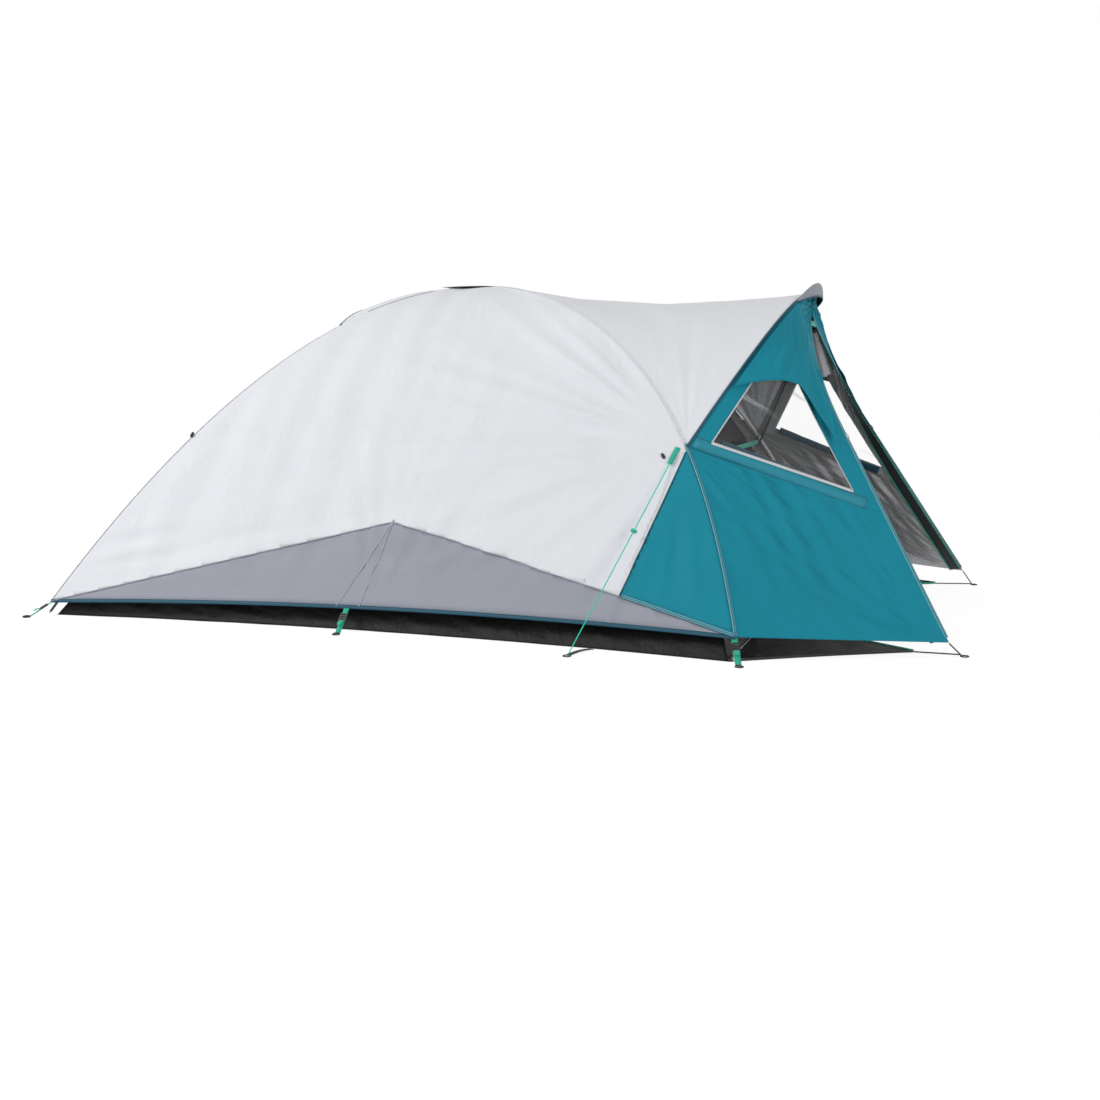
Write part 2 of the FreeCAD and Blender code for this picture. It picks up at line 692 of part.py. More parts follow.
# ---------------------------------------------------------------- floor
floor_x = half_length - size.floor_inset_x
floor_y = half_width - size.floor_inset_y
outline = []
corners = [point(-floor_x, -floor_y, 0), point(floor_x, -floor_y, 0),
           point(floor_x, floor_y, 0), point(-floor_x, floor_y, 0)]
bows = [point(0, size.floor_bow, 0), point(0, 0, 0), point(0, -size.floor_bow, 0),
        point(size.floor_bow, 0, 0)]
for index, start in enumerate(corners):
    end = corners[(index + 1) % 4]
    middle = mix(start, end, 0.5) + bows[index]
    if bows[index].Length > 1:
        outline.append(Part.Arc(start, middle, end).toShape())
    else:
        outline.append(Part.makeLine(start, end))
floor_face = Part.Face(Part.Wire(outline))
node("floor_sheet", floor_face.extrude(Z * size.floor_thick))

wall_station_rear = station_at(rear_pole, size.tub_height + 1, -size.inner_gap)
wall_station_front = station_at(front_pole, size.tub_height + 1, -size.inner_gap)
top_corners = [rear_pole(NEAR, wall_station_rear, -size.inner_gap),
               front_pole(NEAR, wall_station_front, -size.inner_gap),
               front_pole(FAR, wall_station_front, -size.inner_gap),
               rear_pole(FAR, wall_station_rear, -size.inner_gap)]
WALLS = ("floor_wall_near", "floor_wall_front", "floor_wall_far", "floor_wall_rear")
for index, label in enumerate(WALLS):
    low_a, low_b = corners[index] + Z * (size.floor_thick + 0.3), corners[(index + 1) % 4] + Z * (
        size.floor_thick + 0.3)
    top_a, top_b = point(top_corners[index].x, top_corners[index].y, size.tub_height), point(
        top_corners[(index + 1) % 4].x, top_corners[(index + 1) % 4].y, size.tub_height)
    bow = bows[index]

    def foot_line(share, a=low_a, b=low_b, bow=bow):
        return mix(a, b, share) + bow * (4 * share * (1 - share)) + (b - a).cross(Z).normalize() * -3

    def head_line(share, a=top_a, b=top_b, bow=bow):
        return mix(a, b, share) + bow * (4 * share * (1 - share))
    wall = Panel(head_line, foot_line, line(head_line(0), foot_line(0)), line(head_line(1), foot_line(1)))
    node(label, thick(wall.face(6, 2, 2.6, top=0.2, bottom=0.2)))

for side, word in SIDES:
    loop = [point(floor_x + 0.4, side * floor_y, 0), point(floor_x + 0.4, side * size.wing_root, 0),
            point(half_length + size.wing_tip_ahead, side * (size.wing_tip_side - 5), 0),
            point(half_length + size.wing_tip_ahead, side * (size.wing_tip_side + 5), 0)]
    node("floor_wing_" + word, Part.Face(Part.makePolygon(loop + [loop[0]])).extrude(Z * size.floor_thick))

# ---------------------------------------------------------------- inner tent
inner_hem = size.tub_height + size.seam_gap
for side, word in SIDES:
    inner = side_panel(side, -size.inner_gap, inner_hem, inner_hem, size.floor_bow, 0)
    node("inner_side_" + word, thick(inner.face(6, 6, 2.5, bottom=0.1)))
inner_rear = rear_panel(-size.inner_gap, APEX, inner_hem, size.floor_bow, 0)
node("inner_rear", thick(inner_rear.face(6, 6, 2.5, bottom=0.1)))

# the front of the inner tent: a flat lower part with the doorway, a curved part above it
front_low = [front_pole(side, wall_station_front, -size.inner_gap) for side, _ in SIDES]
top_station = station_at(front_pole, size.inner_door_top + 40, -size.inner_gap)
front_high = [front_pole(side, top_station, -size.inner_gap) for side, _ in SIDES]
low_x, high_x = front_low[0].x, front_high[0].x
low_z, high_z = size.tub_height + size.seam_gap, front_high[0].z - 2 * size.seam_gap


def on_front(y, height):
    """A place on the inner tent's flat front."""
    share = (height - low_z) / (high_z - low_z)
    return point(low_x + (high_x - low_x) * share - size.seam_gap, y, height)


front_normal = point(high_z - low_z, 0, low_x - high_x).normalize()
sill = size.tub_height + size.inner_door_sill
door_half = size.inner_door_width / 2
head = size.inner_door_top


def flat_piece(outline_points):
    loop = [on_front(y, height) for y, height in outline_points]
    return Part.Face(Part.makePolygon(loop + [loop[0]])).extrude(front_normal * size.fabric)


side_steps = 5
for side, word in SIDES:
    post = door_half + size.inner_door_gap
    loop = [(side * post, high_z), (side * post, low_z)]
    for step in range(side_steps + 1):
        height = low_z + (high_z - low_z) * step / side_steps
        width = abs(front_pole(side, station_at(front_pole, height, -size.inner_gap), -size.inner_gap).y)
        loop.append((side * (width - size.inner_seam), height))
    node("inner_front_" + word, flat_piece(loop))
upper_left = lambda share: front_pole(FAR, APEX + (top_station - APEX) * share, -size.inner_gap)
upper_right = lambda share: front_pole(NEAR, APEX + (top_station - APEX) * share, -size.inner_gap)
upper_front = Panel(line(upper_left(0), upper_right(0)), line(upper_left(1), upper_right(1)),
                    upper_left, upper_right)
node("inner_front_top", thick(upper_front.face(6, 6, 2.5, bottom=0.1)))
edge_half = door_half + size.inner_door_gap - 0.3
head_strip = flat_piece([(-edge_half, head + size.inner_door_gap), (edge_half, head + size.inner_door_gap),
                         (edge_half, high_z), (-edge_half, high_z)])
sill_strip = flat_piece([(-edge_half, low_z), (edge_half, low_z), (edge_half, sill - size.seam_gap),
                         (-edge_half, sill - size.seam_gap)])
group("inner_front_edges", [head_strip, sill_strip])
node("inner_door", flat_piece([(-door_half, sill), (door_half, sill), (door_half, head),
                               (-door_half, head)]))


# ---------------------------------------------------------------- clips between inner tent and poles
def clip(bent, share):
    """Open hook round a pole with a tab down to the inner tent."""
    place, along = bent.place(share)
    down = Z * -1 + along * along.z
    down.normalize()
    width = size.webbing * 0.7
    start = place - along * (width / 2)
    ring = Part.makeCylinder(bore + size.hub_wall, width, start, along).cut(
        Part.makeCylinder(bore, width, start, along))
    tab = strip(start, place + along * (width / 2), size.fabric, size.clip_reach, down, bore + 0.5)
    return ring.fuse(tab)


group("pole_clips", [clip(dome_poles[side], share) for side in (FAR, NEAR)
                     for share in (0.18, 0.32, 0.70, 0.82)])

# ---------------------------------------------------------------- buckles, straps and peg loops
buckle = doc.addObject("PartDesign::Body", "LadderLock")


def sketch_on(body, name, loops):
    """Sketch of closed loops of straight lines on the body's own level plane."""
    sketch = body.newObject("Sketcher::SketchObject", name)
    base = [item for item in body.Origin.OriginFeatures if item.Role == "XY_Plane"][0]
    sketch.AttachmentSupport = [(base, "")]
    sketch.MapMode = "FlatFace"
    for loop in loops:
        for start, end in zip(loop, loop[1:] + loop[:1]):
            sketch.addGeometry(Part.LineSegment(point(start[0], start[1], 0), point(end[0], end[1], 0)))
    return sketch


def rectangle(x0, y0, x1, y1):
    return [(x0, y0), (x1, y0), (x1, y1), (x0, y1)]


length, width, bar = size.buckle_length, size.buckle_width, size.buckle_bar
shoulder = bar
frame_loop = [(0, -width / 2 + shoulder), (shoulder, -width / 2), (length, -width / 2),
              (length, width / 2), (shoulder, width / 2), (0, width / 2 - shoulder)]
frame_sketch = sketch_on(buckle, "BuckleFrame", [frame_loop])
frame_pad = buckle.newObject("PartDesign::Pad", "BucklePad")
frame_pad.Profile = frame_sketch
frame_pad.setExpression("Length", "Sizes.buckle_thick")
slot_end = (length - bar) / 3
slots = [rectangle(bar, -width / 2 + bar, slot_end, width / 2 - bar),
         rectangle(slot_end + bar, -width / 2 + bar, 2 * slot_end, width / 2 - bar),
         rectangle(2 * slot_end + bar, -width / 2 + bar, length - bar, width / 2 - bar)]
slot_sketch = sketch_on(buckle, "BuckleSlots", slots)
slot_cut = buckle.newObject("PartDesign::Pocket", "BucklePocket")
slot_cut.Profile = slot_sketch
slot_cut.Type = "ThroughAll"
slot_cut.Midplane = True
doc.recompute()
buckle_shape = buckle.Shape.copy()


def strap_run(top, ground, outward_to):
    """Tab, buckle, strap and peg loop from the fly's edge down to a peg."""
    ring_centre = point(ground.x, ground.y, 0)
    towards = point(top.x - ground.x, top.y - ground.y, 0).normalize()
    aim = ring_centre + towards * ring_middle + Z * (size.loop_thick + 0.4)
    along = aim - top
    total = along.Length
    along.normalize()
    up = FreeCAD.Vector(outward_to) - along * along.dot(outward_to)
    up.normalize()
    tab_end = top + along * (0.2 * total)
    buckle_start = tab_end + along * 0.4
    lock = buckle_shape.copy()
    side = up.cross(along)
    frame = FreeCAD.Matrix(along.x, side.x, up.x, buckle_start.x, along.y, side.y, up.y, buckle_start.y,
                           along.z, side.z, up.z, buckle_start.z, 0, 0, 0, 1)
    lock.Placement = FreeCAD.Placement(frame).multiply(lock.Placement)
    strap_start = buckle_start + along * (size.buckle_length + 0.4)
    straps = [strip(top, tab_end, size.webbing, size.webbing_thick, up),
              strip(strap_start, aim, size.webbing, size.webbing_thick, up)]
    return straps, lock, ring_at(ring_centre)


def ring_at(centre):
    """Flat loop on the ground that a peg goes through."""
    outer = Part.makeCylinder(size.loop_radius, size.loop_thick, centre)
    return outer.cut(Part.makeCylinder(size.loop_bore, size.loop_thick, centre))


straps, locks, rings = [], [], []
ring_middle = (size.loop_radius + size.loop_bore) / 2
for side, word in SIDES:
    rear_top = rear_pole(side, station_at(rear_pole, size.hem_rear, size.fly_gap), size.fly_gap)
    rear_out = point(-1, side, 0).normalize()
    rear_ground = point(rear_top.x, rear_top.y, 0) + rear_out * 88
    front_top = front_pole(side, station_at(front_pole, size.hem_front, size.fly_gap), size.fly_gap)
    front_out = point(0.35, side, 0).normalize()
    front_ground = point(front_top.x, front_top.y, 0) + front_out * 84
    middle_top = fly_sides[side].bottom(0.46) + point(0, side * 9.5, -2.5)
    middle_ground = point(middle_top.x, middle_top.y, 0) + point(0, side * 78, 0)
    front_seat = front_top - point(3.2, side * 0.6, -0.8)
    for top, ground, out in ((rear_top, rear_ground, rear_out), (front_seat, front_ground, front_out),
                             (middle_top, middle_ground, point(0, side, 0))):
        run, lock, ring = strap_run(top - out * 4 - Z * 3, ground, out)
        straps += run
        locks.append(lock)
        rings.append(ring)
group("ladder_locks", locks)

# ---------------------------------------------------------------- guy line and short cords
cord = size.cord_diameter / 2
guy_side = NEAR
guy_ring = point(size.guy_peg_x, guy_side * size.guy_peg_side, 0)
rings.append(ring_at(guy_ring))
fly_end = station_at(front_pole, size.hem_front, size.fly_gap)
guy_down = (size.arch_station - APEX) / (fly_end - APEX)
guy_facing = fly_sides[guy_side].normal(0.97, guy_down)
guy_top = fly_sides[guy_side].at(0.985, guy_down) + guy_facing * (size.fabric + 0.5)
guy_low = guy_ring + point(0, -guy_side * ring_middle, size.loop_thick + cord * 0.8)
guy_along = (guy_low - guy_top).normalize()
tab_length = 70
guy_tab = strip(guy_top, guy_top + guy_along * tab_length, size.webbing, size.webbing_thick, guy_facing)
straps.append(guy_tab.cut(fly_whole[guy_side]))
group("corner_straps", straps)
cord_start = guy_top + guy_along * (tab_length + 0.3)
guy_length = (guy_low - cord_start).Length
node("guy_line_near", Part.makeCylinder(cord, guy_length, cord_start, guy_along))

slider_body = doc.addObject("PartDesign::Body", "GuySlider")
disc_sketch = slider_body.newObject("Sketcher::SketchObject", "SliderRound")
disc_sketch.AttachmentSupport = [([item for item in slider_body.Origin.OriginFeatures
                                   if item.Role == "XY_Plane"][0], "")]
disc_sketch.MapMode = "FlatFace"
disc_sketch.addGeometry(Part.Circle(point(0, 0, 0), Z, size.guy_slide_radius))
disc_sketch.addGeometry(Part.Circle(point(0, 0, 0), Z, cord + 0.4))
disc_pad = slider_body.newObject("PartDesign::Pad", "SliderPad")
disc_pad.Profile = disc_sketch
disc_pad.setExpression("Length", "Sizes.guy_slide_thick")
slide_place = cord_start + guy_along * (guy_length * 0.36)
slider_body.Placement = FreeCAD.Placement(slide_place, FreeCAD.Rotation(Z, guy_along))
keep(slider_body, "guy_slider")

for side, word in SIDES:
    stake = point(half_length + size.stake_ahead, side * size.stake_side, 0)
    rings.append(ring_at(stake))
    over = Z * (size.loop_thick + cord + 0.6)
    fly_corner = door_edge(side, 0) + point(1.5, 0, -2.5)
    end = stake + over + point(-ring_middle * 0.8, side * ring_middle * 0.5, 0)
    node("cord_corner_" + word, Part.makeCylinder(cord, (end - fly_corner).Length, fly_corner,
                                                  end - fly_corner))
    tip = point(half_length + size.wing_tip_ahead + 0.5, side * size.wing_tip_side, cord + 0.1)
    wing_end = stake + over + point(-ring_middle * 0.9, -side * ring_middle * 0.4, 0)
    node("cord_wing_" + word, Part.makeCylinder(cord, (wing_end - tip).Length, tip, wing_end - tip))
group("peg_loops", rings)

# ---------------------------------------------------------------- sliders on the door's zips
for side, word in SIDES:
    foot, shoulder, along, ahead = doorway[side]
    puller = doc.addObject("Part::Box", "ZipSlider" + word)
    puller.setExpression("Length", "Sizes.webbing * 0.9")
    puller.setExpression("Width", "Sizes.zip_slide_width")
    puller.setExpression("Height", "Sizes.zip_slide_width * 0.6")
    doc.recompute()
    flat_to = along.cross(ahead).normalize()
    across = flat_to.cross(along)
    slide_gap = 1.6 * size.seam_gap
    inner_edge = ahead * (slide_gap if across.dot(ahead) > 0 else slide_gap + size.zip_slide_width)
    origin = shoulder - along * (2 * size.webbing) + inner_edge - flat_to * (size.zip_slide_width * 0.3)
    frame = FreeCAD.Matrix(along.x, across.x, flat_to.x, origin.x, along.y, across.y, flat_to.y, origin.y,
                           along.z, across.z, flat_to.z, origin.z, 0, 0, 0, 1)
    puller.Placement = FreeCAD.Placement(frame)
    keep(puller, "zip_slider_" + word)

# ---------------------------------------------------------------- check and write
doc.recompute()
for item in doc.Objects:
    if "Invalid" in item.State or "Error" in item.State:
        raise RuntimeError("%s failed: %s" % (item.Name, item.State))
for item in NODES:
    if item.Shape.isNull() or not item.Shape.isValid():
        raise RuntimeError("%s has no valid shape" % item.Label)
    if not item.Shape.Solids:
        raise RuntimeError("%s has no solid" % item.Label)
facets = 0
for item in NODES:
    count = len(item.Shape.tessellate(1.0)[1])
    facets += count
    item.Shape.exportStep("parts/%s.step" % item.Label)
    print("%-22s solids %2d volume %10.0f facets %5d" % (
        item.Label, len(item.Shape.Solids), item.Shape.Volume, count))
print("nodes", len(NODES), "facets", facets)
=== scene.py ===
# %% [markdown]
# # A dome tent with a front porch
# The tent is pitched: two long poles cross over the bedroom, a third one arches over the porch, and
# cloth is stretched between them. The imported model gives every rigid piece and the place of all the
# rest. This lesson keeps the rigid pieces, gives them finishes, and makes each cloth again as a thin
# sewn sheet, because a plain plate never looks like cloth.

# %% Load the fixed frame
import math
import bpy
import bmesh
from mathutils import Matrix, Vector, noise


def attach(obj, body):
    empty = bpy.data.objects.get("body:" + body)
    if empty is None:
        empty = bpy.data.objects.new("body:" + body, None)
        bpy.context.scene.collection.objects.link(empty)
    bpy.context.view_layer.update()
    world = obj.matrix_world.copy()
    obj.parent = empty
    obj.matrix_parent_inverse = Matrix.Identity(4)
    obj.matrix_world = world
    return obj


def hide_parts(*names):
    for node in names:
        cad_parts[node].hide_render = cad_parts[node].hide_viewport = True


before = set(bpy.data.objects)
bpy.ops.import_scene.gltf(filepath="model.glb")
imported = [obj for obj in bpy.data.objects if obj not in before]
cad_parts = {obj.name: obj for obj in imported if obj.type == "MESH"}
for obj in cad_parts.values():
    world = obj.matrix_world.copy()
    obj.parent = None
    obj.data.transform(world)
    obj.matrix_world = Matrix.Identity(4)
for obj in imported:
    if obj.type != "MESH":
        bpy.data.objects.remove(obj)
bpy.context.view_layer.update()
made = {}

# %% [markdown]
# ## The camera
# It stands to the near side, a little behind the door's line, at about eye height of someone who
# kneels. Its directions are given as three axes, which is the plainest way to turn a camera.

# %% Place the camera
camera_data = bpy.data.cameras.new("tent_camera")
camera_data.lens = 42.83
camera_data.sensor_width = 36
camera = bpy.data.objects.new("tent_camera", camera_data)
bpy.context.scene.collection.objects.link(camera)
camera_axes = Matrix(((0.94651, -0.04204, 0.31992), (0.32267, 0.12333, -0.93844), (0.0, 0.99147, 0.13030)))
camera.matrix_world = Matrix.Translation((2.0238, -5.0349, 0.8751)) @ camera_axes.to_4x4()
bpy.context.scene.camera = camera
bpy.context.scene.view_settings.view_transform = "Standard"

# %% [markdown]
# ## Finishes
# Every finish is made of nodes. Cloth needs three scales: a weave that shows only from near, a
# slow change of tone over a hand's width, and soft creases. The weave follows each sheet's own UV
# map, which is in metres, so that its threads have one size everywhere.

# %% Helpers for node materials
def node(tree, kind, **settings):
    """A shader node with its sockets set by name."""
    item = tree.nodes.new(kind)
    for key, value in settings.items():
        if hasattr(item, key):
            setattr(item, key, value)
        else:
            item.inputs[key.replace("_", " ")].default_value = value
    return item


def plain_material(name, colour, roughness):
    """A material with its Principled shader, ready for more nodes."""
    material = bpy.data.materials.new(name)
    material.use_nodes = True
    shader = material.node_tree.nodes["Principled BSDF"]
    shader.inputs["Base Color"].default_value = (*colour, 1)
    shader.inputs["Roughness"].default_value = roughness
    return material, material.node_tree, shader


def sine(tree, source, axis, period):
    """A wave from -1 to 1 along one axis of a vector, with its period in metres."""
    split = node(tree, "ShaderNodeSeparateXYZ")
    tree.links.new(source, split.inputs[0])
    scale = node(tree, "ShaderNodeMath", operation="MULTIPLY")
    scale.inputs[1].default_value = 2 * math.pi / period
    wave = node(tree, "ShaderNodeMath", operation="SINE")
    tree.links.new(split.outputs[axis], scale.inputs[0])
    tree.links.new(scale.outputs[0], wave.inputs[0])
    return wave.outputs[0]


def combine(tree, operation, first, second):
    item = node(tree, "ShaderNodeMath", operation=operation)
    for index, value in enumerate((first, second)):
        if isinstance(value, (int, float)):
            item.inputs[index].default_value = value
        else:
            tree.links.new(value, item.inputs[index])
    return item.outputs[0]


def tone(tree, coordinates, colour, amount, scale, detail=3.0):
    """A colour that grows a little lighter and darker from place to place."""
    clouds = node(tree, "ShaderNodeTexNoise", Scale=scale, Detail=detail)
    tree.links.new(coordinates, clouds.inputs["Vector"])
    ramp = node(tree, "ShaderNodeMix", data_type="RGBA")
    ramp.inputs[6].default_value = (*[channel * (1 - amount) for channel in colour], 1)
    ramp.inputs[7].default_value = (*[min(1, channel * (1 + amount)) for channel in colour], 1)
    tree.links.new(clouds.outputs["Fac"], ramp.inputs[0])
    return ramp.outputs[2]


def bump(tree, height, distance, strength=1.0, below=None):
    item = node(tree, "ShaderNodeBump", Strength=strength, Distance=distance)
    tree.links.new(height, item.inputs["Height"])
    if below is not None:
        tree.links.new(below, item.inputs["Normal"])
    return item.outputs["Normal"]


# %% [markdown]
# A woven cloth: two crossed waves make the threads, noise stretched by a second noise makes the
# creases that packing leaves in a tent. Both only tilt the surface, so they cost no geometry.

# %% Make a cloth
def cloth(name, colour, roughness=0.62, mottle=0.05, crease=0.0016, thread=0.0011, sheen=0.15, metal=0.0, shine=0.3):
    material, tree, shader = plain_material(name, colour, roughness)
    spots = node(tree, "ShaderNodeTexCoord")
    tree.links.new(tone(tree, spots.outputs["Object"], colour, mottle, 5.0), shader.inputs["Base Color"])
    warp = sine(tree, spots.outputs["UV"], 0, thread)
    weft = sine(tree, spots.outputs["UV"], 1, thread)
    weave = combine(tree, "MULTIPLY", warp, weft)
    fine = bump(tree, weave, 0.00012, 0.35)
    folds = node(tree, "ShaderNodeTexNoise", Scale=9.0, Detail=2.5, Distortion=0.9)
    tree.links.new(spots.outputs["Object"], folds.inputs["Vector"])
    crinkles = node(tree, "ShaderNodeTexNoise", Scale=34.0, Detail=4.0, Distortion=1.4)
    tree.links.new(spots.outputs["Object"], crinkles.inputs["Vector"])
    small = bump(tree, crinkles.outputs["Fac"], crease * 0.35, 1.0, fine)
    tree.links.new(bump(tree, folds.outputs["Fac"], crease, 1.0, small), shader.inputs["Normal"])
    shader.inputs["Specular IOR Level"].default_value = shine
    shader.inputs["Sheen Weight"].default_value = sheen
    shader.inputs["Metallic"].default_value = metal
    return material


white_cloth = cloth("white_cloth", (0.83, 0.845, 0.885), 0.58, 0.02, 0.0042, sheen=0.1)
grey_cloth = cloth("grey_cloth", (0.345, 0.362, 0.425), 0.6, 0.05, 0.0036)
blue_cloth = cloth("blue_cloth", (0.012, 0.268, 0.362), 0.6, 0.07, 0.0034, sheen=0.0, shine=0.12)
dark_blue_cloth = cloth("dark_blue_cloth", (0.006, 0.052, 0.085), 0.6, 0.1, 0.001)
lining = cloth("silver_lining", (0.52, 0.525, 0.54), 0.45, 0.15, 0.0050, 0.0011, 0.0, 0.35)
black_cloth = cloth("black_cloth", (0.014, 0.014, 0.016), 0.6, 0.15, 0.001)
floor_cloth = cloth("floor_cloth", (0.011, 0.011, 0.012), 0.5, 0.2, 0.0080, 0.0014, 0.0, shine=0.22)
floor_inside = cloth("floor_inside", (0.07, 0.072, 0.08), 0.5, 0.1, 0.003)

# %% [markdown]
# Webbing is woven much more coarsely: ribs run across it, and each rib is made of slanting
# threads. Its colour is painted darker in the hollows of the weave and lighter on its raised
# threads, as painted shade and highlight.

# %% Make webbing and sewn tape
def webbing(name, colour, rib=0.0026):
    material, tree, shader = plain_material(name, colour, 0.55)
    spots = node(tree, "ShaderNodeTexCoord")
    ribs = sine(tree, spots.outputs["UV"], 0, rib)
    threads = sine(tree, spots.outputs["UV"], 1, rib * 0.7)
    weave = combine(tree, "MULTIPLY", ribs, threads)
    tree.links.new(bump(tree, weave, 0.0004, 0.8), shader.inputs["Normal"])
    # Painted shade and highlight: the colour is darker in the weave's hollows and lighter on its raised threads.
    painted_weave_shade = node(tree, "ShaderNodeMix", data_type="RGBA")
    painted_weave_shade.inputs[6].default_value = (*[channel * 0.72 for channel in colour], 1)
    painted_weave_shade.inputs[7].default_value = (*[min(1, channel * 1.15) for channel in colour], 1)
    lift = combine(tree, "MULTIPLY_ADD", weave, 0.5)
    lift.node.inputs[2].default_value = 0.5
    tree.links.new(lift, painted_weave_shade.inputs[0])
    tree.links.new(painted_weave_shade.outputs[2], shader.inputs["Base Color"])
    shader.inputs["Sheen Weight"].default_value = 0.2
    return material


def sewn_tape(name, colour, thread_colour, rows, pitch=0.0045, thread=0.0009, width=0.012):
    """Folded seam: cloth with rows of stitches, each stitch a short raised dash along the seam."""
    material, tree, shader = plain_material(name, colour, 0.6)
    spots = node(tree, "ShaderNodeTexCoord")
    split = node(tree, "ShaderNodeSeparateXYZ")
    tree.links.new(spots.outputs["UV"], split.inputs[0])
    along = combine(tree, "FRACT", combine(tree, "DIVIDE", split.outputs[0], pitch), 0)
    dash = combine(tree, "LESS_THAN", along, 0.68)
    mask = None
    for row in rows:
        away = combine(tree, "ABSOLUTE", combine(tree, "SUBTRACT", split.outputs[1], row * width), 0)
        line_mask = combine(tree, "LESS_THAN", away, thread / 2)
        mask = line_mask if mask is None else combine(tree, "MAXIMUM", mask, line_mask)
    stitched = combine(tree, "MULTIPLY", mask, dash)
    paint = node(tree, "ShaderNodeMix", data_type="RGBA")
    paint.inputs[6].default_value = (*colour, 1)
    paint.inputs[7].default_value = (*thread_colour, 1)
    tree.links.new(stitched, paint.inputs[0])
    tree.links.new(paint.outputs[2], shader.inputs["Base Color"])
    tree.links.new(bump(tree, stitched, 0.0006, 0.9), shader.inputs["Normal"])
    return material


teal = (0.004, 0.56, 0.36)
teal_webbing = webbing("teal_webbing", teal)
black_webbing = webbing("black_webbing", (0.016, 0.016, 0.018))
white_seam = sewn_tape("white_seam", (0.83, 0.845, 0.885), (0.70, 0.71, 0.74), (0.25, 0.75))
grey_seam = sewn_tape("grey_seam", (0.30, 0.31, 0.365), (0.42, 0.43, 0.48), (0.25, 0.75))
pale_seam = sewn_tape("pale_seam", (0.39, 0.405, 0.47), (0.55, 0.56, 0.60), (0.5,))
blue_seam = sewn_tape("blue_seam", (0.010, 0.225, 0.305), (0.40, 0.58, 0.62), (0.18, 0.82), 0.007, 0.0024)
blue_band = sewn_tape("blue_band", (0.011, 0.255, 0.345), (0.02, 0.125, 0.17), (0.05, 0.93), 0.009, 0.0030, 0.044)
dark_binding = sewn_tape("dark_binding", (0.004, 0.075, 0.125), (0.03, 0.14, 0.19), (0.82,))
white_binding = sewn_tape("white_binding", (0.70, 0.71, 0.73), (0.45, 0.46, 0.48), (0.2,))

# %% [markdown]
# The window is a clear plastic film. Film bends light too little to matter, so it is mostly see-
# through, more mirror-like at a grazing angle, and a slow ripple breaks its reflections. Where the
# ripple peaks, pale streaks are painted into the film as its sheen.

# %% Make film, mesh, plastic, metal and rods
def film(name):
    material, tree, shader = plain_material(name, (0.80, 0.82, 0.84), 0.12)
    spots = node(tree, "ShaderNodeTexCoord")
    turned = node(tree, "ShaderNodeMapping")
    turned.inputs["Rotation"].default_value = (0, 0, -0.95)
    turned.inputs["Scale"].default_value = (2.2, 26.0, 1.0)
    tree.links.new(spots.outputs["UV"], turned.inputs["Vector"])
    ripple = node(tree, "ShaderNodeTexNoise", Scale=1.0, Detail=2.0, Distortion=0.5)
    tree.links.new(turned.outputs[0], ripple.inputs["Vector"])
    normal = bump(tree, ripple.outputs["Fac"], 0.006)
    tree.links.new(normal, shader.inputs["Normal"])
    # Painted sheen: where the ripple peaks, the pale film grows less see-through in streaks that stand in for its
    # reflections.
    painted_sheen_streaks = node(tree, "ShaderNodeMapRange")
    painted_sheen_streaks.inputs["From Min"].default_value = 0.60
    painted_sheen_streaks.inputs["From Max"].default_value = 0.74
    painted_sheen_streaks.inputs["To Max"].default_value = 0.30
    tree.links.new(ripple.outputs["Fac"], painted_sheen_streaks.inputs["Value"])
    veil_and_painted_sheen = combine(tree, "ADD", painted_sheen_streaks.outputs[0], 0.045)
    tree.links.new(veil_and_painted_sheen, shader.inputs["Alpha"])
    return material


def net(name, colour, hole=0.0016):
    """Fine net: threads with see-through holes between them."""
    material, tree, shader = plain_material(name, colour, 0.7)
    spots = node(tree, "ShaderNodeTexCoord")
    across = combine(tree, "ABSOLUTE", sine(tree, spots.outputs["UV"], 0, hole * 2), 0)
    down = combine(tree, "ABSOLUTE", sine(tree, spots.outputs["UV"], 1, hole * 2), 0)
    threads = combine(tree, "MINIMUM", across, down)
    cover = combine(tree, "LESS_THAN", threads, 0.78)
    tree.links.new(cover, shader.inputs["Alpha"])
    return material


def moulded(name, colour, roughness=0.42):
    material, tree, shader = plain_material(name, colour, roughness)
    spots = node(tree, "ShaderNodeTexCoord")
    tree.links.new(tone(tree, spots.outputs["Object"], colour, 0.18, 60.0), shader.inputs["Base Color"])
    grain = node(tree, "ShaderNodeTexNoise", Scale=900.0, Detail=2.0)
    tree.links.new(spots.outputs["Object"], grain.inputs["Vector"])
    tree.links.new(bump(tree, grain.outputs["Fac"], 0.0001, 0.5), shader.inputs["Normal"])
    return material


clear_film = film("clear_film")
dark_net = net("dark_net", (0.012, 0.012, 0.014))
black_plastic = moulded("black_plastic", (0.018, 0.018, 0.02))
teal_plastic = moulded("teal_plastic", teal, 0.35)
rod_finish = moulded("rod_finish", (0.05, 0.052, 0.056), 0.28)
metal_sleeve = moulded("metal_sleeve", (0.55, 0.56, 0.58), 0.3)
metal_sleeve.node_tree.nodes["Principled BSDF"].inputs["Metallic"].default_value = 0.9
black_cord = webbing("black_cord", (0.014, 0.014, 0.016), 0.0018)
teal_cord = moulded("teal_cord", (0.006, 0.66, 0.44), 0.5)
print("finishes", len(bpy.data.materials))

# %% [markdown]
# ## The lines of the tent
# Cloth on a tent hangs between lines: the poles, the door's edge and the hem. Each is a small
# function from a share, 0 to 1, to a place. Lengths are in metres, +X is the door and -Y is near.

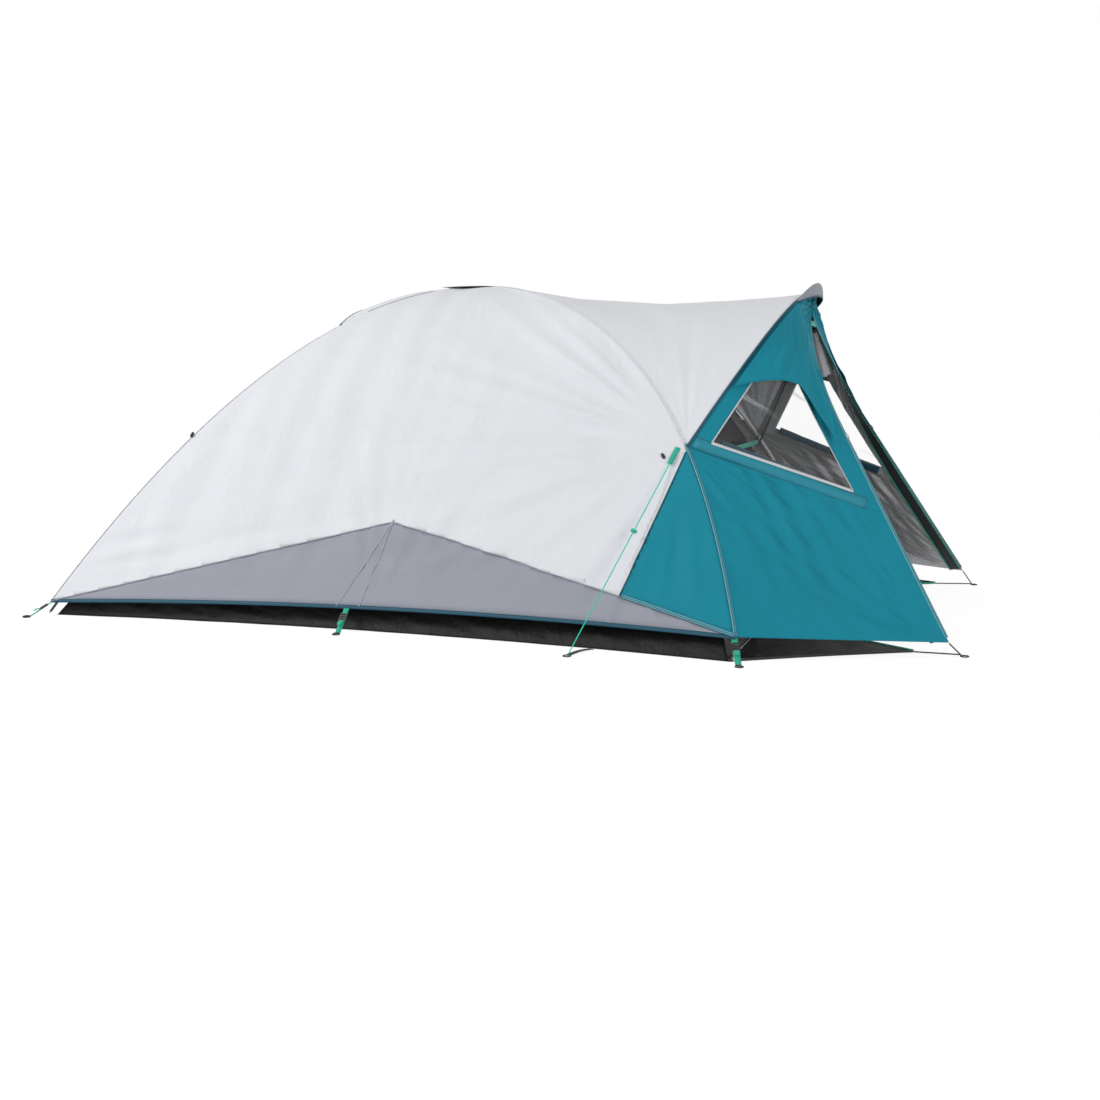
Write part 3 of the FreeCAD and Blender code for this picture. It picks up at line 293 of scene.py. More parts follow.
# %% Curves of the poles, the arch and the doorway
half_length, half_width, dome_height = 1.287, 1.107, 1.220
fly_gap, inner_gap, fabric = 0.018, 0.032, 0.002
cloth_thick, net_thick, seam_thick = 0.0012, 0.0006, 0.0006
arch_station, apex = 0.79, 0.014
near, far = -1, 1
sides = ((near, "near"), (far, "far"))
inside = Vector((0, 0, dome_height / 4))


def mix(a, b, share):
    return a + (b - a) * share


def middle_of(spots):
    return sum(spots, Vector()) / len(spots)


def line(start, end):
    return lambda share: mix(start, end, share)


def rear_pole(side, station, off=0.0):
    return Vector((-(half_length + off) * station, side * (half_width + off) * station,
                   (dome_height + off) * (1 - station ** 1.86)))


def front_pole(side, station, off=0.0):
    bow = 1.79 * station ** 3 * (1 - station)
    drop = 0.55 * station ** 2 + 0.45 * station ** 5
    return Vector(((half_length + off) * station, side * (half_width * (station - bow) + off * station),
                   (dome_height + off) * (1 - drop)))


def share_where(curve, height):
    """Share at which a curve that comes down from 0 to 1 passes a height."""
    low, high = 0.0, 1.0
    for _ in range(40):
        middle = (low + high) / 2
        low, high = (middle, high) if curve(middle).z > height else (low, middle)
    return (low + high) / 2


def fly_arch(side, share):
    foot = front_pole(side, arch_station, fly_gap)
    top = Vector((half_length + 0.046 + fly_gap / 2, 0, 1.170 + fly_gap * 0.8))
    fall = abs(share) ** 2.5
    return Vector((top.x + (foot.x - top.x) * fall, side * abs(foot.y) * share, top.z + (foot.z - top.z) * fall))


def door_edge(side, share):
    foot = Vector((half_length + 0.620, side * 0.817, 0.052))
    shoulder = Vector((half_length + 0.232, side * 0.440, 0.700))
    top = Vector((half_length + 0.056, side * 0.026, 1.108))
    straight = (shoulder - foot).length / ((shoulder - foot).length + (top - shoulder).length)
    if share <= straight:
        return mix(foot, shoulder, share / straight)
    late = (share - straight) / (1 - straight)
    turn = shoulder + (shoulder - foot).normalized() * ((top - shoulder).length * 0.45)
    return mix(mix(shoulder, turn, late), mix(turn, top, late), late)


rear_hem = share_where(lambda s: rear_pole(near, s, fly_gap), 0.055)
front_hem = share_where(lambda s: front_pole(near, s, fly_gap), 0.076)
split_share = 1 - share_where(lambda s: door_edge(near, 1 - s), 0.430)
print("hem stations", round(rear_hem, 3), round(front_hem, 3), "window seam at", round(split_share, 3))

# %% [markdown]
# A panel is the smooth surface between four such lines (a Coons patch): it blends the two pairs of
# opposite lines and takes away what was counted twice. It gives a place for any pair of shares.

# %% A smooth panel between four lines
class Panel:
    def __init__(self, top, bottom, left, right):
        self.top, self.bottom, self.left, self.right = top, bottom, left, right

    def at(self, across, down):
        corners = mix(mix(self.top(0), self.top(1), across), mix(self.bottom(0), self.bottom(1), across), down)
        return (mix(self.top(across), self.bottom(across), down)
                + mix(self.left(down), self.right(down), across) - corners)

    def normal(self, across, down, step=0.01):
        across, down = min(max(across, 0.002), 0.985), min(max(down, 0.002), 0.985)
        place = self.at(across, down)
        cross = (self.at(across + step, down) - place).cross(self.at(across, down + step) - place)
        cross.normalize()
        return cross if cross.dot(place - inside) > 0 else -cross


def side_panel(side, off, rear_end, front_end, bow, rise):
    left = lambda share: rear_pole(side, apex + (rear_end - apex) * share, off)
    right = lambda share: front_pole(side, apex + (front_end - apex) * share, off)

    def hem(share):
        belly = 4 * share * (1 - share)
        return mix(left(1), right(1), share) + Vector((0, -side * bow * belly, rise * belly))
    return Panel(line(left(0), right(0)), hem, left, right)


def rear_panel(off, start, end, bow, rise):
    left = lambda share: rear_pole(far, start + (end - start) * share, off)
    right = lambda share: rear_pole(near, start + (end - start) * share, off)

    def hem(share):
        belly = 4 * share * (1 - share)
        return mix(left(1), right(1), share) + Vector((bow * belly, 0, rise * belly))
    return Panel(line(left(0), right(0)), hem, left, right)


def porch_panels(side):
    arch_line = lambda share: fly_arch(side, 0.04 + 0.96 * share)
    door_line = lambda share: door_edge(side, 1 + (split_share - 1) * share)
    upper = Panel(line(arch_line(0), door_line(0)), line(arch_line(1), door_line(1)), arch_line, door_line)
    pole_line = lambda share: front_pole(side, arch_station + (front_hem - arch_station) * share, fly_gap)
    low_line = lambda share: door_edge(side, split_share * (1 - share))
    lower = Panel(line(pole_line(0), low_line(0)), line(pole_line(1), low_line(1)), pole_line, low_line)
    return upper, lower


fly_sides = {side: side_panel(side, fly_gap, rear_hem, front_hem, 0.084, 0.018) for side, _ in sides}
fly_back = rear_panel(fly_gap, 0.334, rear_hem, 0.084, 0.018)
porch = {side: porch_panels(side) for side, _ in sides}

# %% [markdown]
# ## From a panel to a sheet of cloth
# `create_grid` makes a flat net of faces; each of its points is then moved to its place on the
# panel. The UV map is measured in metres along the cloth. A relief function lifts the points a few
# millimetres, for the folds that are too big for a bump map. Two helpers cut a sheet along a seam
# and take out the part between seams, as a pattern cutter would.

# %% Nets, cuts and finished pieces
def net_of(columns, rows, place):
    """A bmesh grid whose points are moved by place(across, down)."""
    sheet = bmesh.new()
    uv = sheet.loops.layers.uv.new("UVMap")
    bmesh.ops.create_grid(sheet, x_segments=columns, y_segments=rows, size=0.5)
    width = sum((place(i / 16, 0.6) - place((i + 1) / 16, 0.6)).length for i in range(16))
    height = sum((place(0.5, i / 16) - place(0.5, (i + 1) / 16)).length for i in range(16))
    for face in sheet.faces:
        for loop in face.loops:
            flat = loop.vert.co
            loop[uv].uv = ((flat.x + 0.5) * width, (0.5 - flat.y) * height)
    for vert in sheet.verts:
        vert.co = place(min(max(vert.co.x + 0.5, 0), 1), min(max(0.5 - vert.co.y, 0), 1))
    bmesh.ops.remove_doubles(sheet, verts=sheet.verts[:], dist=0.0002)
    return sheet


def face_outwards(sheet, centre=inside):
    """Turn the whole net over if most of it looks at the tent's inside."""
    sheet.normal_update()
    score = sum(face.normal.dot(face.calc_center_median() - centre) * face.calc_area() for face in sheet.faces)
    if score < 0:
        bmesh.ops.reverse_faces(sheet, faces=sheet.faces[:])


def cut(sheet, place, normal):
    bmesh.ops.bisect_plane(sheet, geom=sheet.verts[:] + sheet.edges[:] + sheet.faces[:], dist=0.00005,
                           plane_co=place, plane_no=normal)


def part_of(sheet, belongs):
    """Copy of the net with only the faces whose centre passes a test."""
    copy = sheet.copy()
    gone = [face for face in copy.faces if not belongs(face.calc_center_median())]
    bmesh.ops.delete(copy, geom=gone, context="FACES")
    return copy


def piece(name, sheet, materials, body="tent", slot=None, thickness=None, offset=-1.0, smooth=True):
    """Turn a net into an object that rides on a body, with a wall thickness if one is given."""
    mesh = bpy.data.meshes.new(name)
    area = sum(face.calc_area() for face in sheet.faces)
    for face in sheet.faces:
        face.smooth = smooth
    sheet.to_mesh(mesh)
    sheet.free()
    item = bpy.data.objects.new(name, mesh)
    bpy.context.scene.collection.objects.link(item)
    for material in materials:
        mesh.materials.append(material)
    if thickness:
        shell = item.modifiers.new("wall", "SOLIDIFY")
        shell.thickness = thickness
        shell.offset = offset
        shell.material_offset = len(materials) - 1
    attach(item, body)
    made[name] = area
    return item


def declare(item, area=None):
    """Work out the size that a sheet was cut to: its box along and across, and its area. The result is not passed on.
    """
    area = area or made[item.name]
    spots = [vert.co for vert in item.data.vertices]
    corners = sorted(spots, key=lambda spot: (spot - spots[0]).length)
    first = max(corners, key=lambda spot: (spot - corners[-1]).length)
    along = (first - corners[-1]).normalized()
    length = (first - corners[-1]).length
    across = [(spot - first) - along * (spot - first).dot(along) for spot in spots]
    widest = max(across, key=lambda reach: reach.length)
    reach = [step.dot(widest.normalized()) for step in across]
    width = max(max(reach) - min(reach), area / length, 0.012)
    length = max(length, area / width) * 1.002
    if area < 0.3 * width * length:
        width = area / (0.32 * length)


def sewn(name, sheet, materials, replaced, slot, thickness=None, body="tent", centre=inside):
    """A sheet from its net: turned outwards, in place of its CAD nodes, and its cut size worked out."""
    if centre is not None:
        face_outwards(sheet, centre)
    item = piece(name, sheet, materials, body=body, slot=slot, thickness=thickness)
    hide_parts(*replaced)
    declare(item)
    return item


# %% [markdown]
# ## Folds
# Cloth under tension folds along the line of pull, so the relief is noise that is drawn out along
# one direction: short across the fold and long beside it. It fades to nothing at the sewn edges.

# %% Relief of stretched cloth
def fade(value, reach):
    """0 at an edge and 1 once a distance away from it, with a soft start."""
    share = min(max(value / reach, 0.0), 1.0)
    return share * share * (3 - 2 * share)


def inside_edges(across, down, reach=0.12):
    return fade(across, reach) * fade(1 - across, reach) * fade(down, reach) * fade(1 - down, reach)


def drawn(x, y, angle, long_wave, short_wave, seed):
    """Noise from about -1 to 1 with folds that run at an angle, in radians, from the x axis."""
    along = x * math.cos(angle) + y * math.sin(angle)
    beside = -x * math.sin(angle) + y * math.cos(angle)
    return noise.noise(Vector((along / long_wave, beside / short_wave, seed)))


def rays(x, y, from_x, from_y, count, seed, reach):
    """Folds that fan out from a point where the cloth is held, fading with distance."""
    dx, dy = x - from_x, y - from_y
    distance = math.hypot(dx, dy) + 1e-6
    turn = math.atan2(dy, dx)
    fan = noise.noise(Vector((turn * count, distance * 1.2, seed)))
    return fan * math.exp(-distance / reach) * fade(distance, 0.12)

# %% [markdown]
# ## The sides of the flysheet
# One side of the dome is a single net from the rear pole to the front pole. Straight cuts through
# it give the three cloths it is sewn from: white above, grey along the foot, blue at the corner.
# The white cloth is pulled from the place where the arch meets the pole, so folds fan out there.

# %% Cut and shape the two sides
skirt_peak, hem_rear, hem_front = 0.366, 0.055, 0.076
rear_foot, front_foot = fly_sides[near].at(0, 1), fly_sides[near].at(1, 1)
corner_x = half_length - 0.410
corner_z = skirt_peak - (skirt_peak - hem_front) / front_foot.x * corner_x
arch_foot = fly_arch(near, 1)
corner_line = (Vector((corner_x, 0, corner_z)), Vector((arch_foot.x, 0, front_pole(near, arch_station).z)))


def skirt_height(x):
    if x < 0:
        return skirt_peak + (skirt_peak - hem_rear) * x / abs(rear_foot.x)
    return skirt_peak - (skirt_peak - hem_front) * x / front_foot.x


def in_skirt(spot):
    return spot.z < skirt_height(spot.x)


def in_corner(spot):
    start, end = corner_line
    step = end - start
    return not in_skirt(spot) and (spot.x - start.x) * step.z - (spot.z - start.z) * step.x > 0


def side_relief(x, z, across, down):
    """Folds of a side, by its place seen from the side."""
    soft = drawn(x, z, 0.42, 0.8, 0.12, 8.4) * 0.007 * fade(x + 0.4, 0.9)
    upright = drawn(x, z, 1.45, 0.9, 0.09, 3.1) * 0.007 * fade(0.45 - x, 0.6)
    pull = rays(x, z, arch_foot.x, arch_foot.z, 15.0, 1.7, 1.1) * 0.024
    lift = rays(x, z, 0.0, 0.06, 10.0, 5.2, 0.4) * 0.014
    top = rays(x, z, 0.1, 1.2, 5.0, 4.2, 0.4) * 0.002 + upright
    skirt = drawn(x, z, 0.15, 0.5, 0.05, 6.9) * 0.012 * fade(0.40 - z, 0.12)
    held = fade(math.hypot(x - arch_foot.x, z - arch_foot.z) - 0.16, 0.22)
    return (soft + pull + lift + top + skirt) * inside_edges(across, down, 0.07) * held


def side_place(side):
    wall = fly_sides[side]

    def place(across, down):
        spot = wall.at(across, down)
        out = wall.normal(across, down)
        return spot + out * (fabric + side_relief(spot.x, spot.z + side * 0.01, across, down))
    return place


def plane_between(start, end):
    """Normal of the upright cut through two places seen from the side."""
    step = end - start
    return Vector((-step.z, 0, step.x)).normalized()


peak = Vector((0, 0, skirt_peak))
seam_cuts = [(peak, plane_between(Vector((rear_foot.x, 0, hem_rear)), peak)),
             (peak, plane_between(peak, Vector((front_foot.x, 0, hem_front)))),
             (corner_line[0], plane_between(*corner_line))]
for side, word in sides:
    whole = net_of(150, 120, side_place(side))
    face_outwards(whole)
    for spot, normal in seam_cuts:
        cut(whole, spot, normal)
    for label, belongs, finish, slot_name in (
            ("fly_side", lambda spot: not in_skirt(spot) and not in_corner(spot), white_cloth, "white_cloth"),
            ("fly_skirt", in_skirt, grey_cloth, "grey_cloth"),
            ("fly_corner", in_corner, blue_cloth, "blue_cloth")):
        sewn(label + "_" + word + "_cloth", part_of(whole, belongs), [finish, lining], (label + "_" + word,),
             slot=slot_name, thickness=cloth_thick, centre=None)

# %% [markdown]
# ## The rear, the vent and the roof
# The rear is built like a side. Above it a net panel lets air out under a stiff hood, whose rim
# stands off the tent. The roof runs from the crossing of the poles to the arch as one sheet that
# sags a little between them: its two halves are nets that meet on the ridge, welded and smoothed.

# %% Make the rear panel and its skirt
def rear_place(across, down):
    spot = fly_back.at(across, down)
    folds = drawn(spot.y, spot.z, 1.1, 0.8, 0.17, 6.6) * 0.004 + rays(spot.y, spot.z, 0, 1.1, 8.0, 2.2, 0.6) * 0.008
    return spot + fly_back.normal(across, down) * (fabric + folds * inside_edges(across, down, 0.08))


def in_rear_skirt(spot):
    return spot.z < skirt_peak - (skirt_peak - hem_rear) * abs(spot.y) / abs(rear_foot.y)


back = net_of(120, 90, rear_place)
face_outwards(back)
for side, word in sides:
    low = Vector((0, side * abs(rear_foot.y), hem_rear))
    step = low - peak
    cut(back, peak, Vector((0, -step.z, step.y)).normalized())
for label, belongs, finish, slot_name in (
        ("fly_rear", lambda spot: not in_rear_skirt(spot), white_cloth, "white_cloth"),
        ("fly_skirt_rear", in_rear_skirt, grey_cloth, "grey_cloth")):
    sewn(label + "_cloth", part_of(back, belongs), [finish, lining], (label,),
         slot=slot_name, thickness=cloth_thick, centre=None)

# %% Make the vent's net and hood
vent_start, vent_end, hood_off = 0.075, 0.334, fly_gap + fabric + 0.0006
vent_left = lambda share: rear_pole(far, vent_start + (vent_end - vent_start) * share, hood_off)
vent_right = lambda share: rear_pole(near, vent_start + (vent_end - vent_start) * share, hood_off)


def vent_rim(share):
    swell = 1 - (2 * share - 1) ** 2
    return mix(vent_left(1), vent_right(1), share) + (
        Vector((-0.458, 0, 1.157)) - mix(vent_left(1), vent_right(1), 0.5)) * swell


vent_panel = Panel(line(vent_left(0), vent_right(0)), vent_rim, vent_left, vent_right)
net_left = lambda share: rear_pole(far, 0.04 + (vent_end - 0.042) * share, fly_gap)
net_right = lambda share: rear_pole(near, 0.04 + (vent_end - 0.042) * share, fly_gap)
vent_net_panel = Panel(line(net_left(0), net_right(0)), line(net_left(1), net_right(1)), net_left, net_right)
vent_net = net_of(24, 20, lambda a, d: vent_net_panel.at(a, d) + vent_net_panel.normal(a, d) * 0.001)
sewn("rear_vent_net", vent_net, [dark_net], ("rear_vent_mesh",), slot="dark_mesh",
     thickness=0.0005)
hood_net = net_of(60, 30, lambda a, d: vent_panel.at(a, d) + vent_panel.normal(a, d) * (
    0.002 + drawn(a, d, 1.2, 0.5, 0.14, 9.9) * 0.003 * inside_edges(a, d)))
sewn("rear_vent_hood_cloth", hood_net, [white_cloth, lining], ("rear_vent_hood",),
     slot="white_cloth", thickness=0.0014)
vent_edge = [vent_rim(i / 60) for i in range(61)]

# %% Make the roof
def ridge_line(share):
    start = front_pole(near, 0.05, fly_gap)
    sag = (2 * fly_gap + 0.25 * 0.084) * 0.6
    straight = mix(Vector((start.x, 0, start.z)), fly_arch(near, 0), share)
    return straight - Vector((0, 0, sag * math.sin(math.pi * share)))


class RoofHalf(Panel):
    """Straight lines from a dome pole to the arch, sagging most along the ridge."""

    def __init__(self, side):
        self.side = side

    def at(self, across, down):
        turn, first = 0.06, front_pole(self.side, 0.05, fly_gap)
        if across < turn:
            start = mix(ridge_line(0), first, across / turn)
        else:
            start = front_pole(self.side, 0.05 + (arch_station - 0.05) * (across - turn) / (1 - turn), fly_gap)
        sag = 0.054 * math.sin(math.pi * min(max(down, 0), 1)) * (1 - min(across, 1)) ** 0.7
        return mix(start, fly_arch(self.side, across), down) - Vector((0, 0, sag))


def roof_place(side):
    half = RoofHalf(side)

    def place(across, down):
        spot = half.at(across, down)
        folds = drawn(spot.x, spot.y, 0.55 * side, 0.7, 0.10, 2.4) * 0.005 + rays(
            spot.x, spot.y, arch_foot.x, side * abs(arch_foot.y), 5.0, 7.7, 0.5) * 0.005
        hold = fade(down, 0.08) * fade(1 - down, 0.08) * fade(1 - across, 0.08) * fade(across, 0.05)
        return spot + half.normal(across, down) * (fabric + folds * hold)
    return place


roof = net_of(60, 70, roof_place(near))
far_half = net_of(60, 70, roof_place(far))
spare = bpy.data.meshes.new("far_half")
far_half.to_mesh(spare)
far_half.free()
roof.from_mesh(spare)
bpy.data.meshes.remove(spare)
bmesh.ops.remove_doubles(roof, verts=roof.verts[:], dist=0.0015)
bmesh.ops.recalc_face_normals(roof, faces=roof.faces[:])
face_outwards(roof)
ridge_verts = [vert for vert in roof.verts if abs(vert.co.y) < 0.09 and 0.1 < vert.co.x < half_length]
for _ in range(8):
    bmesh.ops.smooth_vert(roof, verts=ridge_verts, factor=0.5, use_axis_z=True, use_axis_x=False, use_axis_y=False)
sewn("fly_roof_cloth", roof, [white_cloth, lining], ("fly_roof_near", "fly_roof_far"),
     slot="white_cloth", thickness=cloth_thick, centre=None)

# %% Sew a crown patch over the crossing of the poles
crown = [rear_pole(far, 0.092, fly_gap), front_pole(far, 0.066, fly_gap), rear_pole(near, 0.092, fly_gap),
         front_pole(near, 0.066, fly_gap)]
crown_top = front_pole(near, 0, fly_gap)
crown_reach = math.hypot(crown[1].x, crown[1].y)
crown_fall = (crown_top.z - crown[1].z) / crown_reach ** 2


def crown_place(across, down):
    spot = mix(mix(crown[0], crown[1], down), mix(crown[2], crown[3], down), across)
    height = crown_top.z - crown_fall * (spot.x ** 2 + spot.y ** 2)
    return Vector((spot.x, spot.y, height + 2.6 * fabric))


patch = net_of(24, 24, crown_place)
face_outwards(patch)
item = piece("crown_patch_cloth", patch, [white_cloth, lining], slot="white_cloth", thickness=cloth_thick)
declare(item)

# %% [markdown]
# ## The porch walls
# Each wall has two parts: the upper one holds a clear window and narrows to the peak, the lower one
# runs from the dome's pole to the door's edge. The lower wall is only held at its edges, so it has
# the biggest folds: upright soft ones under the window and slanting ones towards the peg.

# %% Shape the upper and lower porch walls
window_shares = [(0.12, 0.70), (0.40, 0.63), (0.86, 0.952), (0.095, 0.972)]


def upper_relief(across, down):
    top = rays(across, down, 0.5, -0.05, 9.0, 3.3, 0.45) * 0.020
    soft = drawn(across, down, 1.25, 0.5, 0.08, 4.4) * 0.007
    return (top + soft) * fade(across, 0.1) * fade(0.87 - across, 0.1) * fade(1 - down, 0.08)


def lower_relief(across, down):
    upright = drawn(across, down, 1.45, 1.3, 0.08, 1.2) * 0.013 * fade(1 - down, 0.5)
    slanting = drawn(across, down, 0.85, 1.0, 0.09, 5.5) * 0.010
    peg = rays(across, down, 1.02, 1.02, 11.0, 9.1, 0.5) * 0.018
    pole = rays(across, down, -0.02, -0.02, 9.0, 2.9, 0.4) * 0.011
    return (upright + slanting + peg + pole) * fade(across, 0.06) * fade(0.91 - across, 0.08) * fade(
        down, 0.05) * fade(1 - down, 0.06)


def window_frame(side):
    """The window's corners, its middle and the direction that it faces."""
    wall = porch[side][0]
    corners = [wall.at(*shares) for shares in window_shares]
    facing = (corners[2] - corners[0]).cross(corners[3] - corners[1]).normalized()
    middle = (corners[0] + corners[1] + corners[2] + corners[3]) * 0.25
    return corners, middle, facing


def in_window(side):
    corners, middle, facing = window_frame(side)
    walls = []
    for start, end in zip(corners, corners[1:] + corners[:1]):
        inward = facing.cross(end - start).normalized()
        if inward.dot(middle - start) < 0:
            inward = -inward
        walls.append((start, inward))
    return walls, lambda spot: all(inward.dot(spot - start) > 0 for start, inward in walls)


for side, word in sides:
    upper, lower = porch[side]
    high = net_of(110, 110, lambda a, d: upper.at(a, d) + upper.normal(a, d) * (fabric + upper_relief(a, d)))
    face_outwards(high)
    walls, inside_window = in_window(side)
    for start, inward in walls:
        cut(high, start, inward)
    sewn("porch_top_%s_cloth" % word, part_of(high, lambda spot: not inside_window(spot)), [blue_cloth, lining],
         ("vestibule_top_" + word,), slot="blue_cloth",
         thickness=cloth_thick, centre=None)
    pane = part_of(high, inside_window)
    sewn("window_film_" + word, pane, [clear_film], ("window_" + word,),
         slot="clear_film", centre=None)
    low = net_of(120, 110, lambda a, d: lower.at(a, d) + lower.normal(a, d) * (fabric + lower_relief(a, d)))
    sewn("porch_wall_%s_cloth" % word, low, [blue_cloth, lining], ("vestibule_wall_" + word,),
         slot="blue_cloth", thickness=cloth_thick)

# %% [markdown]
# A flap is sewn above each window as a small roof for it. Its lower edge is stiffened and stands
# off the wall, which keeps rain off the film when the curtain is open. Its underside is dark blue
# cloth, painted shade under the flap.

# %% Make the window flaps and the front hood
def flap_place(side):
    wall = porch[side][0]

    def place(across, down):
        share = 0.03 + 0.77 * across
        lowest = 0.68 + 0.49 * abs(share - 0.45) ** 1.4
        height = 0.30 + (lowest - 0.30) * down
        folds = drawn(across, down, 1.45, 0.8, 0.10, 3.7) * 0.009 + drawn(across, down, 0.9, 0.7, 0.09, 6.1) * 0.005
        lift = fabric + 0.0035 + 0.030 * down ** 2 + folds * fade(down, 0.3) * fade(1.05 - down, 0.2)
        return wall.at(share, height) + wall.normal(share, height) * lift
    return place


# The flap's underside gets dark blue cloth: painted shade under the flap.
for side, word in sides:
    flap = net_of(56, 26, flap_place(side))
    sewn("window_flap_" + word, flap, [blue_cloth, dark_blue_cloth], ("window_hood_" + word,),
         slot="blue_cloth", thickness=0.0014)


def hood_root(share):
    reach = 0.36 * (2 * share - 1)
    return fly_arch(near if reach < 0 else far, abs(reach)) + Vector((0, 0, fabric + 0.0006))


def hood_place(across, down):
    """A visor: it rises from the arch, turns over and comes down again in front."""
    swell = (1 - (2 * across - 1) ** 2) ** 0.8
    ahead = 0.004 + 0.034 * swell * math.sin(down * math.pi / 2)
    above = swell * (0.040 * math.sin(0.92 * math.pi * down) - 0.020 * down ** 3)
    return hood_root(across) + Vector((ahead, 0, above + 0.0015))


hood = net_of(80, 14, hood_place)
sewn("front_hood_cloth", hood, [grey_cloth, dark_blue_cloth], ("front_hood",),
     slot="grey_cloth", thickness=0.0022)

# %% [markdown]
# ## Bands, bindings and seams
# Every line of the tent is finished with a narrow band: a folded seam with two rows of stitches, a
# binding, or webbing. A band is a long net whose middle follows a path, laid flat on the cloth. Its
# UV runs along the band in metres, so that stitches and ribs keep their size.

# %% A band along a path
def even_path(path, step):
    """The path's places again, about one step apart."""
    lengths = [0.0]
    for start, end in zip(path, path[1:]):
        lengths.append(lengths[-1] + (end - start).length)
    count = max(2, int(round(lengths[-1] / step)))
    spots, index = [], 0
    for place in range(count + 1):
        want = lengths[-1] * place / count
        while index < len(path) - 2 and lengths[index + 1] < want:
            index += 1
        span = lengths[index + 1] - lengths[index] or 1e-9
        spots.append(mix(path[index], path[index + 1], (want - lengths[index]) / span))
    return spots, lengths[-1]


def band(name, path, facing, width, materials, lift=0.0, thickness=0.0009, step=0.02, columns=2, slot="teal_webbing",
         curl=0.0, body="tent"):
    """Flat band. facing is a direction, or a function from a place to the direction it faces."""
    spots, length = even_path(path, step)
    rows = len(spots) - 1
    sheet = bmesh.new()
    uv = sheet.loops.layers.uv.new("UVMap")
    bmesh.ops.create_grid(sheet, x_segments=rows, y_segments=columns, size=0.5)
    for face in sheet.faces:
        for loop in face.loops:
            flat = loop.vert.co
            loop[uv].uv = ((flat.x + 0.5) * length, (flat.y + 0.5) * width)
    for vert in sheet.verts:
        index = min(int(round((vert.co.x + 0.5) * rows)), rows)
        across = vert.co.y
        along = (spots[min(index + 1, rows)] - spots[max(index - 1, 0)]).normalized()
        out = facing(spots[index]) if callable(facing) else facing
        out = (out - along * out.dot(along)).normalized()
        beside = out.cross(along)
        vert.co = spots[index] + beside * (across * width) + out * (lift - curl * (2 * across) ** 2)
    sheet.normal_update()
    middle = min(sheet.faces, key=lambda face: (face.calc_center_median() - spots[rows // 2]).length)
    out = facing(spots[rows // 2]) if callable(facing) else facing
    if middle.normal.dot(out) < 0:
        bmesh.ops.reverse_faces(sheet, faces=sheet.faces[:])
    return piece(name, sheet, materials, body=body, slot=slot, thickness=thickness)


def away_from(panel):
    """Direction out of a panel near a place on it, found from the closest of a few samples."""
    samples = [(panel.at(i / 12, j / 12), panel.normal(i / 12, j / 12)) for i in range(13) for j in range(13)]

    def facing(spot):
        close = sorted(samples, key=lambda sample: (sample[0] - spot).length_squared)[:4]
        total = Vector((0, 0, 0))
        for place, normal in close:
            total += normal / ((place - spot).length + 0.02)
        return total.normalized()
    return facing


def crossing(place, test):
    """The place on a line, from share 0 to 1, where a test changes its sign."""
    low, high = 0.0, 1.0
    first = test(place(low)) > 0
    for _ in range(26):
        middle = (low + high) / 2
        low, high = (middle, high) if (test(place(middle)) > 0) == first else (low, middle)
    return place((low + high) / 2)


# %% Sew the sides: seams between the cloths, binding on the hem
for side, word in sides:
    wall = fly_sides[side]
    facing = away_from(wall)
    place = side_place(side)
    skirt_line = [crossing(lambda down: place(i / 110, down), lambda spot: spot.z - skirt_height(spot.x))
                  for i in range(111)]
    blue_start = min(range(111), key=lambda i: abs(skirt_line[i].x - corner_x))
    band("skirt_seam_" + word, skirt_line[:blue_start + 1], facing, 0.004, [grey_seam], lift=0.0016,
         thickness=seam_thick, slot="grey_cloth")
    foot_line = [spot + Vector((0, 0, 0.006)) for spot in skirt_line[blue_start:]]
    band("corner_foot_seam_" + word, foot_line, facing, 0.014, [blue_seam], lift=0.0016, thickness=seam_thick,
         slot="blue_cloth")
    start, end = corner_line
    step = end - start
    edge_line = [crossing(lambda across: place(0.5 + 0.5 * across, down),
                          lambda spot: (spot.x - start.x) * step.z - (spot.z - start.z) * step.x)
                 for down in [0.3 + 0.7 * i / 140 for i in range(141)]]
    edge_line = [spot for spot in edge_line if start.z < spot.z < end.z]
    band("corner_seam_" + word, [spot - Vector((0.006, 0, 0)) for spot in edge_line], facing, 0.012, [white_seam],
         lift=0.0010, thickness=seam_thick, slot="white_cloth")
    band("corner_edge_" + word, edge_line, facing, 0.003, [dark_binding], lift=0.0018, thickness=seam_thick,
         slot="dark_blue_cloth")
    peak_share = min(range(111), key=lambda i: abs(skirt_line[i].x)) / 110
    peak_spot = skirt_line[int(peak_share * 110)]
    peak_down = min(range(101), key=lambda i: (place(peak_share, i / 100) - peak_spot).length) / 100
    for label, shift in (("rear", -0.017), ("front", 0.017)):
        upright = [place(mix(peak_share, 0.46 + shift, i / 30), mix(peak_down, 1, i / 30)) for i in range(31)]
        band("skirt_upright_%s_%s" % (label, word), upright, facing, 0.005, [pale_seam], lift=0.0014,
             thickness=seam_thick, slot="grey_cloth")
    hem_line = [wall.at(i / 60, 1) + facing(wall.at(i / 60, 1)) * (fabric + 0.0004) for i in range(61)]
    item = band("hem_binding_" + word, hem_line, facing, 0.014, [dark_binding], lift=0.0012, thickness=0.0022,
                slot="dark_blue_cloth", curl=0.0006)
hem_back = [fly_back.at(i / 60, 1) for i in range(61)]
rear_facing = away_from(fly_back)
item = band("hem_binding_rear", [spot + rear_facing(spot) * fabric for spot in hem_back], rear_facing, 0.014,
            [dark_binding], lift=0.0012, thickness=0.0022, slot="dark_blue_cloth", curl=0.0006)
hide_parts("hem_binding")

